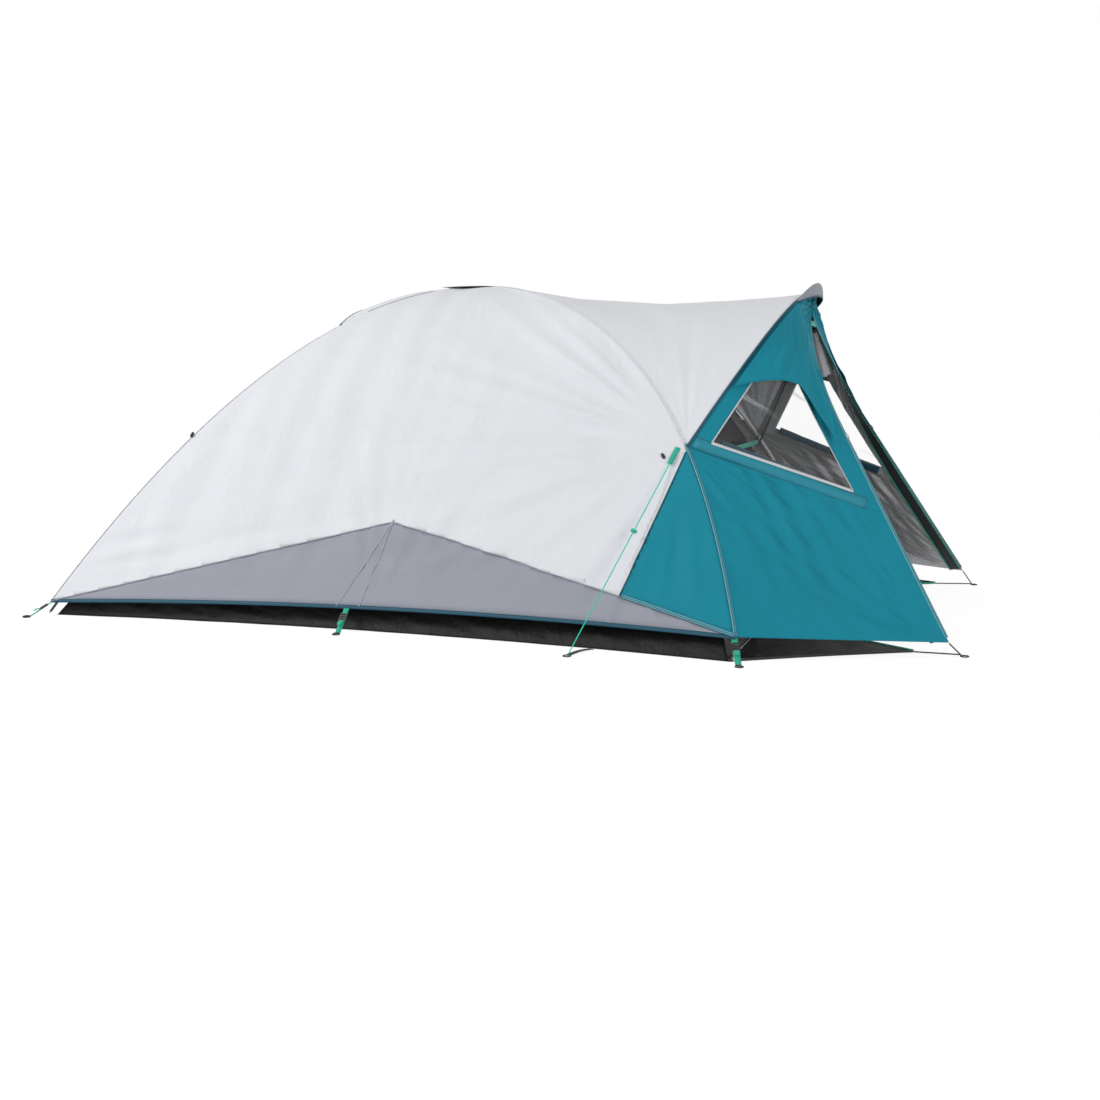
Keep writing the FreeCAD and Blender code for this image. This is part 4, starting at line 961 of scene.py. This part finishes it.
band("vent_hood_binding", [spot + Vector((-0.001, 0, 0.001)) for spot in vent_edge], Vector((-0.75, 0, 0.65)), 0.016,
     [dark_binding], thickness=0.003, slot="dark_blue_cloth", curl=0.001)
hood_edge = [hood_place(0.02 + 0.96 * i / 60, 1.0) for i in range(61)]
band("front_hood_binding", hood_edge, Vector((0.9, 0, 0.2)), 0.012, [dark_binding], thickness=0.003,
     slot="dark_blue_cloth", curl=0.001)

# %% Sew the lines over the poles and the porch's edges
for side, word in sides:
    wall, (upper, lower) = fly_sides[side], porch[side]
    over_pole = [front_pole(side, 0.06 + (front_hem - 0.06) * i / 80, fly_gap) for i in range(81)]
    facing = away_from(wall)
    out = lambda spot: (facing(spot) + away_lower(spot)).normalized()
    away_lower = away_from(lower)
    roof_part = [spot + (facing(spot) * 0.6 + Vector((0, 0, 0.4))) * (fabric + 0.002) for spot in over_pole
                 if spot.z > arch_foot.z]
    blue_part = [spot + out(spot) * (fabric + 0.0015) for spot in over_pole if spot.z <= arch_foot.z + 0.03]
    band("pole_seam_" + word, roof_part, facing, 0.007, [white_seam], thickness=seam_thick, slot="white_cloth")
    band("pole_seam_low_" + word, blue_part, out, 0.010, [blue_seam], thickness=seam_thick, slot="blue_cloth")
    over_rear = [rear_pole(side, 0.34 + (rear_hem - 0.34) * i / 60, fly_gap) for i in range(61)]
    rear_out = Vector((-0.7, side * 0.7, 0.25))
    band("rear_pole_seam_" + word, [spot + rear_out * 0.003 for spot in over_rear], rear_out, 0.007, [white_seam],
         thickness=seam_thick, slot="white_cloth")
    away_upper = away_from(upper)
    band("window_seam_" + word, [upper.at(i / 60, 0.984) + upper.normal(i / 60, 0.984) * (fabric + 0.001)
                                  for i in range(1, 56)], away_upper, 0.044, [blue_band], thickness=0.0008,
         slot="blue_cloth")
    arch_side = [fly_arch(side, 0.02 + 0.98 * i / 70) for i in range(71)]
    band("arch_binding_" + word, [spot + away_upper(spot) * 0.0045 + Vector((0, 0, 0.001)) for spot in arch_side],
         away_upper, 0.010, [dark_binding], thickness=0.002, slot="dark_blue_cloth", curl=0.0006)
    edge = [door_edge(side, i / 80) for i in range(81)]
    edge_out = lambda spot: (away_upper(spot) if spot.z > 0.43 else away_lower(spot))
    band("door_edge_binding_" + word, [spot + edge_out(spot) * 0.003 for spot in edge[1:-1]], edge_out, 0.012,
         [blue_seam], thickness=0.0018, slot="blue_cloth", curl=0.0006)

# %% [markdown]
# Small toggles on the seams tie the flysheet to the poles below it, half-way up each rear pole and
# where the arch meets the front pole.

# %% Tie the toggles to the seams
rear_tie = share_where(lambda share: rear_pole(near, share, fly_gap), 0.66)
for side, word in sides:
    arch_down = (arch_station - apex) / (front_hem - apex)
    cloth_wall = fly_sides[side]
    spots = {"rear": (rear_pole(side, rear_tie, fly_gap) + Vector((-0.006, side * 0.006, 0.002)),
                      Vector((-0.3, side * 0.4, -0.8))),
             "front": (cloth_wall.at(0.955, arch_down + 0.012) + cloth_wall.normal(0.95, arch_down) * 0.005,
                       Vector((0.5, side * 0.2, -0.8)))}
    for label, (spot, way) in spots.items():
        bead = bmesh.new()
        bmesh.ops.create_uvsphere(bead, u_segments=18, v_segments=12, radius=1.0)
        bmesh.ops.scale(bead, verts=bead.verts[:], vec=(0.006, 0.006, 0.012))
        turn = Vector((0, 0, 1)).rotation_difference(way.normalized()).to_matrix()
        bmesh.ops.rotate(bead, verts=bead.verts[:], matrix=turn)
        bmesh.ops.translate(bead, verts=bead.verts[:], vec=spot)
        piece("toggle_%s_%s" % (label, word), bead, [black_plastic], slot="fittings")

# %% [markdown]
# The window's own edges: a thin white tape on three sides and a wider one along the bottom, where
# the film meets the wall. The curtain that covers it hangs rolled up on the inside.

# %% Bind the windows
for side, word in sides:
    corners, middle, window_out = window_frame(side)
    upper = porch[side][0]
    away_upper = away_from(upper)
    lines = [[upper.at(*mix(Vector(a), Vector(b), i / 16)) for i in range(17)]
             for a, b in zip(window_shares, window_shares[1:] + window_shares[:1])]
    flat_lines = []
    for start, end in zip(corners, corners[1:] + corners[:1]):
        flat_lines.append([mix(start, end, i / 16) for i in range(17)])
    for label, path, width in (("top", flat_lines[0], 0.004), ("front", flat_lines[1], 0.003),
                               ("bottom", flat_lines[2], 0.010), ("rear", flat_lines[3], 0.005)):
        snug = []
        for spot in path:
            best = min(((upper.at(i / 40, j / 40) - spot).length, i, j) for i in range(41) for j in range(18, 40))
            near_spot = upper.at(best[1] / 40, best[2] / 40)
            normal = upper.normal(best[1] / 40, best[2] / 40)
            snug.append(spot + normal * (near_spot - spot).dot(normal) + normal * 0.004)
        band("window_tape_%s_%s" % (label, word), snug, away_upper, width, [white_binding], thickness=0.0012,
             slot="white_cloth", step=0.015)

# %% [markdown]
# ## The door
# A black band with teal edges runs down the inside of each door edge and carries the zip. The door
# itself is rolled up to the far side of the peak: a roll is a spiral, so its end shows the turns.

# %% Make the zip bands
for side, word in sides:
    upper, lower = porch[side]
    edge = [door_edge(side, 0.01 + 0.93 * i / 90) for i in range(91)]
    def wall_out(spot, up=away_from(upper), low=away_from(lower)):
        weight = fade(spot.z - 0.38, 0.10)
        return (up(spot) * weight + low(spot) * (1 - weight)).normalized()
    middle_line, inner_line, outer_line = [], [], []
    for index, spot in enumerate(edge):
        along = (edge[min(index + 1, 90)] - edge[max(index - 1, 0)]).normalized()
        out = wall_out(spot)
        back = along.cross(out).normalized()
        if back.dot(Vector((-1, side * 0.3, 0))) < 0:
            back = -back
        middle_line.append(spot + back * 0.028 - out * 0.0032)
        outer_line.append(spot + back * 0.003 - out * 0.0048)
        inner_line.append(spot + back * 0.053 - out * 0.0048)
    item = band("door_band_" + word, middle_line, lambda spot: -wall_out(spot), 0.056, [black_cloth], thickness=0.001,
                slot="black_cloth", columns=4)
    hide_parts("door_zip_" + word)
    for label, path in (("outer", outer_line), ("inner", inner_line)):
        band("door_band_edge_%s_%s" % (label, word), path, lambda spot: -wall_out(spot), 0.006, [teal_webbing],
             thickness=0.0012, slot="teal_webbing")

# %% Roll the door and the curtains
def roll(name, start, end, start_radius, end_radius, turns, finish, slot_name, wall_out, replaced):
    """A rolled sheet: a spiral section carried along an axis, tapering from one end to the other."""
    axis = end - start
    along = axis.normalized()
    side_way = along.cross(wall_out).normalized()
    up = side_way.cross(along)

    def place(across, down):
        radius = mix(start_radius, end_radius, across)
        turn = down * turns * 2 * math.pi
        size = radius * (0.30 + 0.70 * down)
        size *= 1 + 0.05 * noise.noise(Vector((across * 9, turn * 0.7, 1.5)))
        pinch = 1 - 0.10 * sum(math.exp(-((across - tie) / 0.05) ** 2) for tie in (0.22, 0.78))
        return start + axis * across + (side_way * math.cos(turn) + up * math.sin(turn)) * size * pinch
    sheet = net_of(48, int(turns * 26), place)
    bmesh.ops.recalc_face_normals(sheet, faces=sheet.faces[:])
    item = piece(name, sheet, [finish], slot=slot_name, thickness=0.0012, offset=-1)
    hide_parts(replaced)
    return item


upper_far = porch[far][0]
roll_ends = []
for shares, radius in (((0.60, 0.17), 0.0252), ((0.62, 0.45), 0.042)):
    roll_ends.append(upper_far.at(*shares) - upper_far.normal(*shares) * (radius + 0.0002))
item = roll("door_rolled_up", roll_ends[0], roll_ends[1], 0.024, 0.040, 4, lining, "black_cloth",
            upper_far.normal(0.6, 0.3), "door_roll")
declare(item)
for side, word in sides:
    upper = porch[side][0]
    ends = [upper.at(*shares) - upper.normal(*shares) * 0.0172 for shares in ((0.14, 0.962), (0.84, 0.955))]
    item = roll("curtain_rolled_" + word, ends[0], ends[1], 0.0165, 0.0165, 3, dark_blue_cloth, "dark_blue_cloth",
                upper.normal(0.5, 0.95), "curtain_rolls")
    declare(item)

# %% [markdown]
# ## Floor and inner tent
# The floor is a black coated tub: a sheet with walls that stand a hand high, pulled up to the poles.
# It wrinkles where the corners pull. Two wings of the same cloth reach out under the porch.

# %% Lay the floor
floor_x, floor_y, tub, bow = half_length - 0.025, half_width - 0.022, 0.080, 0.086


def floor_place(across, down):
    x = (2 * across - 1) * floor_x
    pull = bow * (1 - (x / floor_x) ** 2)
    y = (1 - 2 * down) * (floor_y - pull)
    lump = 0.0018 + 0.0016 * noise.noise(Vector((x * 5, y * 5, 3.0)))
    return Vector((x, y, max(lump, 0.0002) + 0.0008))


ground = net_of(90, 70, floor_place)
sewn("floor_sheet_cloth", ground, [floor_inside, floor_cloth], ("floor_sheet",), slot="floor_cloth",
     thickness=0.0008, centre=Vector((0, 0, -1)))

rear_s = share_where(lambda s: rear_pole(near, s, -inner_gap), tub + 0.001)
front_s = share_where(lambda s: front_pole(near, s, -inner_gap), tub + 0.001)
tops = [rear_pole(near, rear_s, -inner_gap), front_pole(near, front_s, -inner_gap),
        front_pole(far, front_s, -inner_gap), rear_pole(far, rear_s, -inner_gap)]
feet = [Vector((-floor_x, -floor_y, 0)), Vector((floor_x, -floor_y, 0)), Vector((floor_x, floor_y, 0)),
        Vector((-floor_x, floor_y, 0))]
bows = [Vector((0, bow, 0)), Vector((0, 0, 0)), Vector((0, -bow, 0)), Vector((bow, 0, 0))]
for index, word in enumerate(("near", "front", "far", "rear")):
    foot_a, foot_b = feet[index], feet[(index + 1) % 4]
    top_a, top_b = tops[index], tops[(index + 1) % 4]
    foot_bow = bows[index] if index < 3 else Vector((0, 0, 0))
    inward = (foot_b - foot_a).cross(Vector((0, 0, 1))).normalized() * -0.003

    def wall_place(across, down):
        belly = 4 * across * (1 - across)
        high = Vector((*mix(top_a, top_b, across).xy, tub)) + bows[index] * belly
        low = mix(foot_a, foot_b, across) + bows[index] * belly + inward + Vector((0, 0, 0.002))
        spot = mix(high, low, down)
        fold = drawn(across * 2.4, down * 0.1, 0.25, 0.30, 0.030, 5.0 + index) * 0.006
        pucker = noise.noise(Vector((across * 70, down * 1.5, index + 0.5))) * 0.0035 * fade(down, 0.5)
        relief = fold + pucker
        return spot - inward * relief / 0.003 * fade(across, 0.02) * fade(1 - across, 0.02) * fade(1 - down, 0.3)
    side_wall = net_of(220, 10, wall_place)
    sewn("floor_wall_%s_cloth" % word, side_wall, [floor_cloth, floor_inside], ("floor_wall_" + word,),
         slot="floor_cloth", thickness=cloth_thick)


def wing_place(side):
    root_out, root_in = Vector((floor_x + 0.0004, side * floor_y, 0)), Vector((floor_x + 0.0004, side * 0.372, 0))
    tip = Vector((half_length + 0.510, side * 0.748, 0))

    def place(across, down):
        start, end = mix(root_out, root_in, down), tip + Vector((0, side * 0.010 * (0.5 - down), 0))
        spot = mix(start, end, across)
        scallop = Vector((0.12, side * -0.5, 0)).normalized() * 0.012 * math.sin(across * math.pi) * (1 - down)
        ripple = noise.noise(Vector((across * 6, down * 2.5, side * 2.0 + 4))) * 0.5 + 0.5
        rise = 0.0018 + (0.010 * ripple * fade(across, 0.08) * fade(1 - across, 0.15)
                         * fade(1 - down, 0.2) * fade(down, 0.06))
        return spot + scallop + Vector((0, 0, rise))
    return place


for side, word in sides:
    wing = net_of(70, 50, wing_place(side))
    sewn("floor_wing_%s_cloth" % word, wing, [floor_cloth, floor_inside], ("floor_wing_" + word,),
         slot="floor_cloth", thickness=0.0010, centre=Vector((0, 0, -1)))
    place = wing_place(side)
    for label, down in (("inner", 1.0), ("outer", 0.0)):
        band("wing_edge_%s_%s" % (label, word), [place(i / 24, down) + Vector((0, 0, 0.004)) for i in range(25)],
             Vector((0, -0.6, 0.8)), 0.009, [teal_webbing if down else black_webbing], thickness=0.0012)

# %% Hang the inner tent
inner_hem = 0.0806
inner_rear_end = share_where(lambda s: rear_pole(near, s, -inner_gap), inner_hem)
inner_front_end = share_where(lambda s: front_pole(near, s, -inner_gap), inner_hem)
for side, word in sides:
    inner = side_panel(side, -inner_gap, inner_rear_end, inner_front_end, bow, 0)

    def inner_place(across, down):
        a, d = 0.004 + 0.992 * across, 0.004 + 0.996 * down
        sag = drawn(a * 2.4, d * 1.6, -0.8, 0.7, 0.15, 4.5) * 0.006 * inside_edges(a, d)
        return inner.at(a, d) + inner.normal(a, d) * (0.001 - abs(sag))
    sheet = net_of(70, 60, inner_place)
    sewn("inner_side_%s_net" % word, sheet, [dark_net], ("inner_side_" + word,),
         slot="dark_mesh", thickness=net_thick)
inner_back = rear_panel(-inner_gap, apex, inner_rear_end, bow, 0)
sheet = net_of(60, 50, lambda a, d: inner_back.at(0.004 + 0.992 * a, 0.004 + 0.996 * d))
sewn("inner_rear_net", sheet, [dark_net], ("inner_rear",), slot="dark_mesh",
     thickness=net_thick)
top_share = share_where(lambda s: front_pole(near, s, -inner_gap), 0.560 + 0.040)
low_x, high_x = front_pole(near, front_s, -inner_gap).x, front_pole(near, top_share, -inner_gap).x
low_z, high_z = tub + 0.0006, front_pole(near, top_share, -inner_gap).z - 0.0012
front_out = Vector((high_z - low_z, 0, low_x - high_x)).normalized()
sill, head, door_half, door_gap = tub + 0.026, 0.560, 0.320, 0.003


def on_front(y, height, lift=0.001):
    share = (height - low_z) / (high_z - low_z)
    return Vector((low_x + (high_x - low_x) * share - 0.0006, y, height)) + front_out * lift


def inner_width(height):
    return abs(front_pole(near, share_where(lambda s: front_pole(near, s, -inner_gap), height), -inner_gap).y) - 0.009


for side, word in sides:
    widths = [inner_width(low_z + (high_z - low_z) * i / 30) for i in range(31)]

    def flat_place(across, down):
        height = high_z + (low_z - high_z) * down
        width = widths[int(round((1 - down) * 30))]
        return on_front(side * mix(door_half + door_gap, width, across), height)
    sheet = net_of(20, 30, flat_place)
    sewn("inner_front_%s_net" % word, sheet, [dark_net], ("inner_front_" + word,),
         slot="dark_mesh", thickness=net_thick)
upper_front = Panel(line(front_pole(far, apex, -inner_gap), front_pole(near, apex, -inner_gap)),
                    line(front_pole(far, top_share, -inner_gap), front_pole(near, top_share, -inner_gap)),
                    lambda share: front_pole(far, apex + (top_share - apex) * share, -inner_gap),
                    lambda share: front_pole(near, apex + (top_share - apex) * share, -inner_gap))
sheet = net_of(50, 50, lambda a, d: upper_front.at(0.004 + 0.992 * a, 0.004 + 0.99 * d))
sewn("inner_front_top_net", sheet, [dark_net], ("inner_front_top",), slot="dark_mesh",
     thickness=net_thick)
edge_half = door_half + door_gap - 0.0003
for label, low, high in (("head", head + door_gap, high_z), ("sill", low_z, sill - 0.0006)):
    sheet = net_of(30, 3, lambda a, d: on_front(edge_half * (2 * a - 1), mix(high, low, d)))
    sewn("inner_front_%s_strip" % label, sheet, [black_cloth], ("inner_front_edges",),
         slot="dark_mesh", thickness=0.0014)
sheet = net_of(40, 34, lambda a, d: on_front(door_half * (2 * a - 1), mix(head, sill, d)))
sewn("inner_door_net", sheet, [dark_net], ("inner_door",), slot="dark_mesh",
     thickness=0.0008, body="inner_door")
rim = 0.016
for label, (start, end) in {"left": ((-door_half + rim / 2, sill), (-door_half + rim / 2, head)),
                            "right": ((door_half - rim / 2, sill), (door_half - rim / 2, head)),
                            "top": ((-door_half, head - rim / 2), (door_half, head - rim / 2)),
                            "foot": ((-door_half, sill + rim / 2), (door_half, sill + rim / 2))}.items():
    path = [on_front(mix(start[0], end[0], i / 20), mix(start[1], end[1], i / 20), 0.0012) for i in range(21)]
    band("inner_door_tape_" + label, path, front_out, rim, [black_cloth], thickness=0.001, slot="black_cloth",
         body="inner_door")

# %% [markdown]
# ## Straps, loops and lines
# Six straps run from the hem to loops on the ground, each through a ladder-lock buckle. Webbing is
# stiff across and soft along, so each strap is a band that hangs a little between its ends.

# %% Place the straps
loop_thick, ring_middle, tab_share = 0.003, 0.0125, 0.2
webbing_width, webbing_thick, buckle_length = 0.020, 0.0016, 0.030


def strap_ends(side):
    rear_top, front_top = rear_pole(side, rear_hem, fly_gap), front_pole(side, front_hem, fly_gap)
    rear_out, front_out_way = Vector((-1, side, 0)).normalized(), Vector((0.35, side, 0)).normalized()
    seat = front_top - Vector((0.0032, side * 0.0006, -0.0008))
    middle = fly_sides[side].bottom(0.46) + Vector((0, side * 0.0095, -0.0025))
    side_out = Vector((0, side, 0))
    return (("rear", rear_top, Vector((rear_top.x, rear_top.y, 0)) + rear_out * 0.088, rear_out),
            ("front", seat, Vector((front_top.x, front_top.y, 0)) + front_out_way * 0.084, front_out_way),
            ("middle", middle, Vector((middle.x, middle.y, 0)) + side_out * 0.078, side_out))


def loop_ring(name, centre):
    """Loop of cord laid flat on the ground."""
    sheet = bmesh.new()
    bmesh.ops.create_circle(sheet, segments=8, radius=0.0021)
    bmesh.ops.rotate(sheet, verts=sheet.verts[:], matrix=Matrix.Rotation(math.pi / 2, 3, "X"))
    bmesh.ops.translate(sheet, verts=sheet.verts[:], vec=(ring_middle, 0, 0.0021))
    bmesh.ops.spin(sheet, geom=sheet.verts[:] + sheet.edges[:], cent=(0, 0, 0), axis=(0, 0, 1), steps=40,
                   angle=2 * math.pi, use_merge=True)
    bmesh.ops.remove_doubles(sheet, verts=sheet.verts[:], dist=0.0001)
    bmesh.ops.recalc_face_normals(sheet, faces=sheet.faces[:])
    bmesh.ops.translate(sheet, verts=sheet.verts[:], vec=(centre.x, centre.y, 0.0002))
    uv = sheet.loops.layers.uv.new("UVMap")
    for face in sheet.faces:
        for loop in face.loops:
            turn = math.atan2(loop.vert.co.y - centre.y, loop.vert.co.x - centre.x)
            loop[uv].uv = (turn * ring_middle, loop.vert.co.z)
    return piece(name, sheet, [black_cord], slot="black_cord")


ring_places = []
for side, word in sides:
    for label, top, ground_spot, out in strap_ends(side):
        start = top - out * 0.004 - Vector((0, 0, 0.003))
        ring_centre = Vector((ground_spot.x, ground_spot.y, 0))
        towards = Vector((start.x - ring_centre.x, start.y - ring_centre.y, 0)).normalized()
        aim = ring_centre + towards * ring_middle + Vector((0, 0, loop_thick + 0.0004))
        along = (aim - start).normalized()
        total = (aim - start).length
        up = (out - along * along.dot(out)).normalized()
        tab_end = start + along * (tab_share * total)
        strap_start = tab_end + along * (buckle_length + 0.0008)
        over_hem = start - along * 0.002
        band("strap_tab_%s_%s" % (label, word), [over_hem, mix(over_hem, tab_end, 0.5), tab_end + along * 0.005],
             up, webbing_width, [teal_webbing], lift=webbing_thick, thickness=webbing_thick, step=0.004)
        sag = [mix(strap_start - along * 0.006, aim, i / 8) - Vector((0, 0, 0.0012 * math.sin(math.pi * i / 8)))
               for i in range(9)]
        band("strap_%s_%s" % (label, word), sag, up, webbing_width, [teal_webbing], lift=webbing_thick,
             thickness=webbing_thick, step=0.005)
        tail_end = strap_start + along * 0.022 + up * 0.010
        band("strap_tail_%s_%s" % (label, word),
             [strap_start + up * 0.0035, mix(strap_start, tail_end, 0.5) + up * 0.004, tail_end], up,
             webbing_width * 0.92, [teal_webbing], lift=webbing_thick, thickness=webbing_thick, step=0.004)
        ring_places.append(ring_centre)
        away = -towards
        band("peg_tab_%s_%s" % (label, word),
             [ring_centre + towards * 0.016 + Vector((0, 0, 0.0045)), ring_centre + Vector((0, 0, 0.0075)),
              ring_centre + away * 0.014 + Vector((0, 0, 0.005))], Vector((0, 0, 1)), 0.012, [black_webbing],
             lift=0.0012, thickness=0.0012, step=0.004, slot="black_cord")
guy_ring = Vector((0.762, -1.168, 0))
stakes = {side: Vector((half_length + 0.668, side * 0.768, 0)) for side, _ in sides}
ring_places += [guy_ring, stakes[near], stakes[far]]
for index, spot in enumerate(ring_places):
    ring = loop_ring("ground_loop_%d" % (index + 1), spot)
    if index == 0:
        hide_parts("peg_loops")

# %% [markdown]
# The guy line holds the arch: a webbing tab sewn to the pole seam, then a line through a round
# slider to a loop on the ground. It is pulled tight, so it is straight. Four short cords hold the
# corners of the doorway and the floor's wings.

# %% Stretch the guy line and the cords
def cord_piece(name, points, diameter, finish, replaced):
    curve = bpy.data.curves.new(name, "CURVE")
    curve.dimensions = "3D"
    spline = curve.splines.new("NURBS")
    spline.points.add(len(points) - 1)
    for control, spot in zip(spline.points, points):
        control.co = (*spot, 1)
    spline.order_u = 3
    spline.use_endpoint_u = True
    curve.bevel_depth = diameter / 2
    curve.bevel_resolution = 3
    curve.use_fill_caps = True
    curve.materials.append(finish)
    item = bpy.data.objects.new(name, curve)
    bpy.context.scene.collection.objects.link(item)
    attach(item, "tent")
    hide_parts(replaced)
    length = sum((b - a).length for a, b in zip(points, points[1:]))
    print(name, "length", round(length, 4))
    return item


cord_width = 0.0032
strap_share = (0.804 + floor_x) / (2 * floor_x)
floor_edge = Vector((0.804, -(floor_y - bow * 4 * strap_share * (1 - strap_share) + 0.0021), 0.0003))
strap_way = (guy_ring - Vector((floor_edge.x, floor_edge.y, 0))).normalized()
strap_end = guy_ring - strap_way * ring_middle + Vector((0, 0, loop_thick + 0.0004))
floor_strap = [mix(floor_edge, strap_end, i / 20) + Vector((0, 0, 0.004 * math.sin(math.pi * i / 20)))
               for i in range(21)]
band("floor_strap", floor_strap, Vector((0, 0, 1)), 0.019, [black_webbing],
     lift=webbing_thick, thickness=webbing_thick,
     slot="black_cord", step=0.01)
guy_down = (arch_station - apex) / (front_hem - apex)
guy_out = fly_sides[near].normal(0.97, guy_down)
guy_top = fly_sides[near].at(0.985, guy_down) + guy_out * (fabric + 0.0005)
guy_low = guy_ring + Vector((0, ring_middle, loop_thick + cord_width * 0.4))
guy_along = (guy_low - guy_top).normalized()
cord_start = guy_top + guy_along * 0.0703
cord_piece("guy_line", [mix(cord_start, guy_low, share) for share in (0, 0.25, 0.5, 0.75, 1)],
           cord_width + 0.0006, teal_cord, "guy_line_near")
tab_path = [guy_top + guy_out * 0.001, guy_top + guy_along * 0.035 + guy_out * 0.001, guy_top + guy_along * 0.069]
tab = band("guy_tab", tab_path, guy_out, 0.018, [teal_webbing],
           lift=webbing_thick, thickness=webbing_thick, step=0.005)
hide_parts("corner_straps")
lace_width = 0.0046
for side, word in sides:
    over = Vector((0, 0, loop_thick + lace_width / 2 + 0.0006))
    corner = door_edge(side, 0) + Vector((0.0015, 0, -0.0025))
    end = stakes[side] + over + Vector((-ring_middle * 0.8, side * ring_middle * 0.5, 0))
    cord_piece("corner_cord_" + word, [mix(corner, end, share) for share in (0, 0.5, 1)], lace_width, black_cord,
               "cord_corner_" + word)
    tip = Vector((half_length + 0.510 + 0.0005, side * 0.748, lace_width / 2 + 0.0001))
    wing_end = stakes[side] + over + Vector((-ring_middle * 0.9, -side * ring_middle * 0.4, 0))
    cord_piece("wing_cord_" + word, [mix(tip, wing_end, share) for share in (0, 0.5, 1)], lace_width, black_cord,
               "cord_wing_" + word)

# %% Stretch the straps across
foot_height = [vert.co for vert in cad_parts["cross_straps"].data.vertices]
lowest = [spot for spot in foot_height if spot.z < 0.8]
across_ends = [middle_of([spot for spot in lowest if spot.y * side > 0.3]) for side in (near, far)]
line_across = [mix(across_ends[0], across_ends[1], i / 24) - Vector((0, 0, 0.004 * math.sin(math.pi * i / 24)))
               for i in range(25)]
item = band("strap_across", line_across, Vector((1, 0, 0)), 0.020, [teal_webbing], thickness=webbing_thick)
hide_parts("cross_straps")
highest = [spot for spot in foot_height if spot.z >= 0.8]
peak_ends = [middle_of([spot for spot in highest if spot.y * side > 0]) for side in (near, far)]
band("strap_at_peak", [mix(peak_ends[0], peak_ends[1], i / 6) for i in range(7)], Vector((1, 0, 0.3)), 0.020,
     [teal_webbing], thickness=webbing_thick)

# %% [markdown]
# ## Rigid pieces keep their shape
# Rods, sleeves, hubs, clips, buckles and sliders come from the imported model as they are. They only
# get finishes.

# %% Finish the rigid pieces
rigid = {"dome_pole_a": rod_finish, "dome_pole_b": rod_finish, "arch_pole": rod_finish, "pole_sleeves": metal_sleeve,
         "pole_tips": metal_sleeve, "arch_hubs": black_plastic, "pole_clips": black_plastic,
         "ladder_locks": black_plastic, "guy_slider": teal_plastic, "zip_slider_near": metal_sleeve,
         "zip_slider_far": metal_sleeve}
for name, finish in rigid.items():
    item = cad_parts[name]
    item.data.materials.clear()
    item.data.materials.append(finish)

# %% [markdown]
# ## Stage and light
# A wide pale floor and a pale world. The world lights the tent evenly, a large soft lamp from the
# upper left gives the cloth its slow shading, and a smaller one opens the shadow under the porch.

# %% Build the stage
stage_net = bmesh.new()
bmesh.ops.create_grid(stage_net, x_segments=1, y_segments=1, size=40)
bmesh.ops.translate(stage_net, verts=stage_net.verts[:], vec=(0, 0, -0.0004))
stage_mesh = bpy.data.meshes.new("ground")
stage_net.to_mesh(stage_mesh)
stage_net.free()
ground_item = bpy.data.objects.new("ground", stage_mesh)
bpy.context.scene.collection.objects.link(ground_item)
pale, pale_tree, pale_shader = plain_material("pale_ground", (0.92, 0.92, 0.92), 0.9)
rays_seen = node(pale_tree, "ShaderNodeLightPath")
glow = node(pale_tree, "ShaderNodeEmission", Strength=1.22)
through = combine(pale_tree, "MAXIMUM", rays_seen.outputs["Is Glossy Ray"], rays_seen.outputs["Is Transmission Ray"])
seen = combine(pale_tree, "MAXIMUM", rays_seen.outputs["Is Camera Ray"], through)
blend_in = node(pale_tree, "ShaderNodeMixShader")
pale_tree.links.new(combine(pale_tree, "MULTIPLY", seen, 0.72), blend_in.inputs[0])
pale_tree.links.new(pale_shader.outputs[0], blend_in.inputs[1])
pale_tree.links.new(glow.outputs[0], blend_in.inputs[2])
pale_tree.links.new(blend_in.outputs[0], pale_tree.nodes["Material Output"].inputs["Surface"])
stage_mesh.materials.append(pale)

world = bpy.data.worlds.new("pale_world")
bpy.context.scene.world = world
world.use_nodes = True
sky = world.node_tree
backdrop = sky.nodes["Background"]
backdrop.inputs["Color"].default_value = (1, 1, 1, 1)
path = node(sky, "ShaderNodeLightPath")
seen = combine(sky, "MAXIMUM", path.outputs["Is Camera Ray"],
               combine(sky, "MAXIMUM", path.outputs["Is Glossy Ray"], path.outputs["Is Transmission Ray"]))
strength = combine(sky, "MULTIPLY_ADD", seen, 0.58)
strength.node.inputs[2].default_value = 0.42
sky.links.new(strength, backdrop.inputs["Strength"])


def soft_lamp(name, place, aim, size, power):
    data = bpy.data.lights.new(name, "AREA")
    data.size = size
    data.energy = power
    lamp = bpy.data.objects.new(name, data)
    bpy.context.scene.collection.objects.link(lamp)
    lamp.location = place
    lamp.rotation_euler = (Vector(aim) - Vector(place)).to_track_quat("-Z", "Y").to_euler()
    return lamp


soft_lamp("window_lamp", (-3.8, -3.6, 4.6), (0.2, 0, 0.5), 2.4, 185)
soft_lamp("door_lamp", (4.6, -3.6, 2.0), (1.3, 0, 0.5), 2.0, 45)

# %% Update the scene and count the pieces
bpy.context.view_layer.update()
print("pieces", len(made))
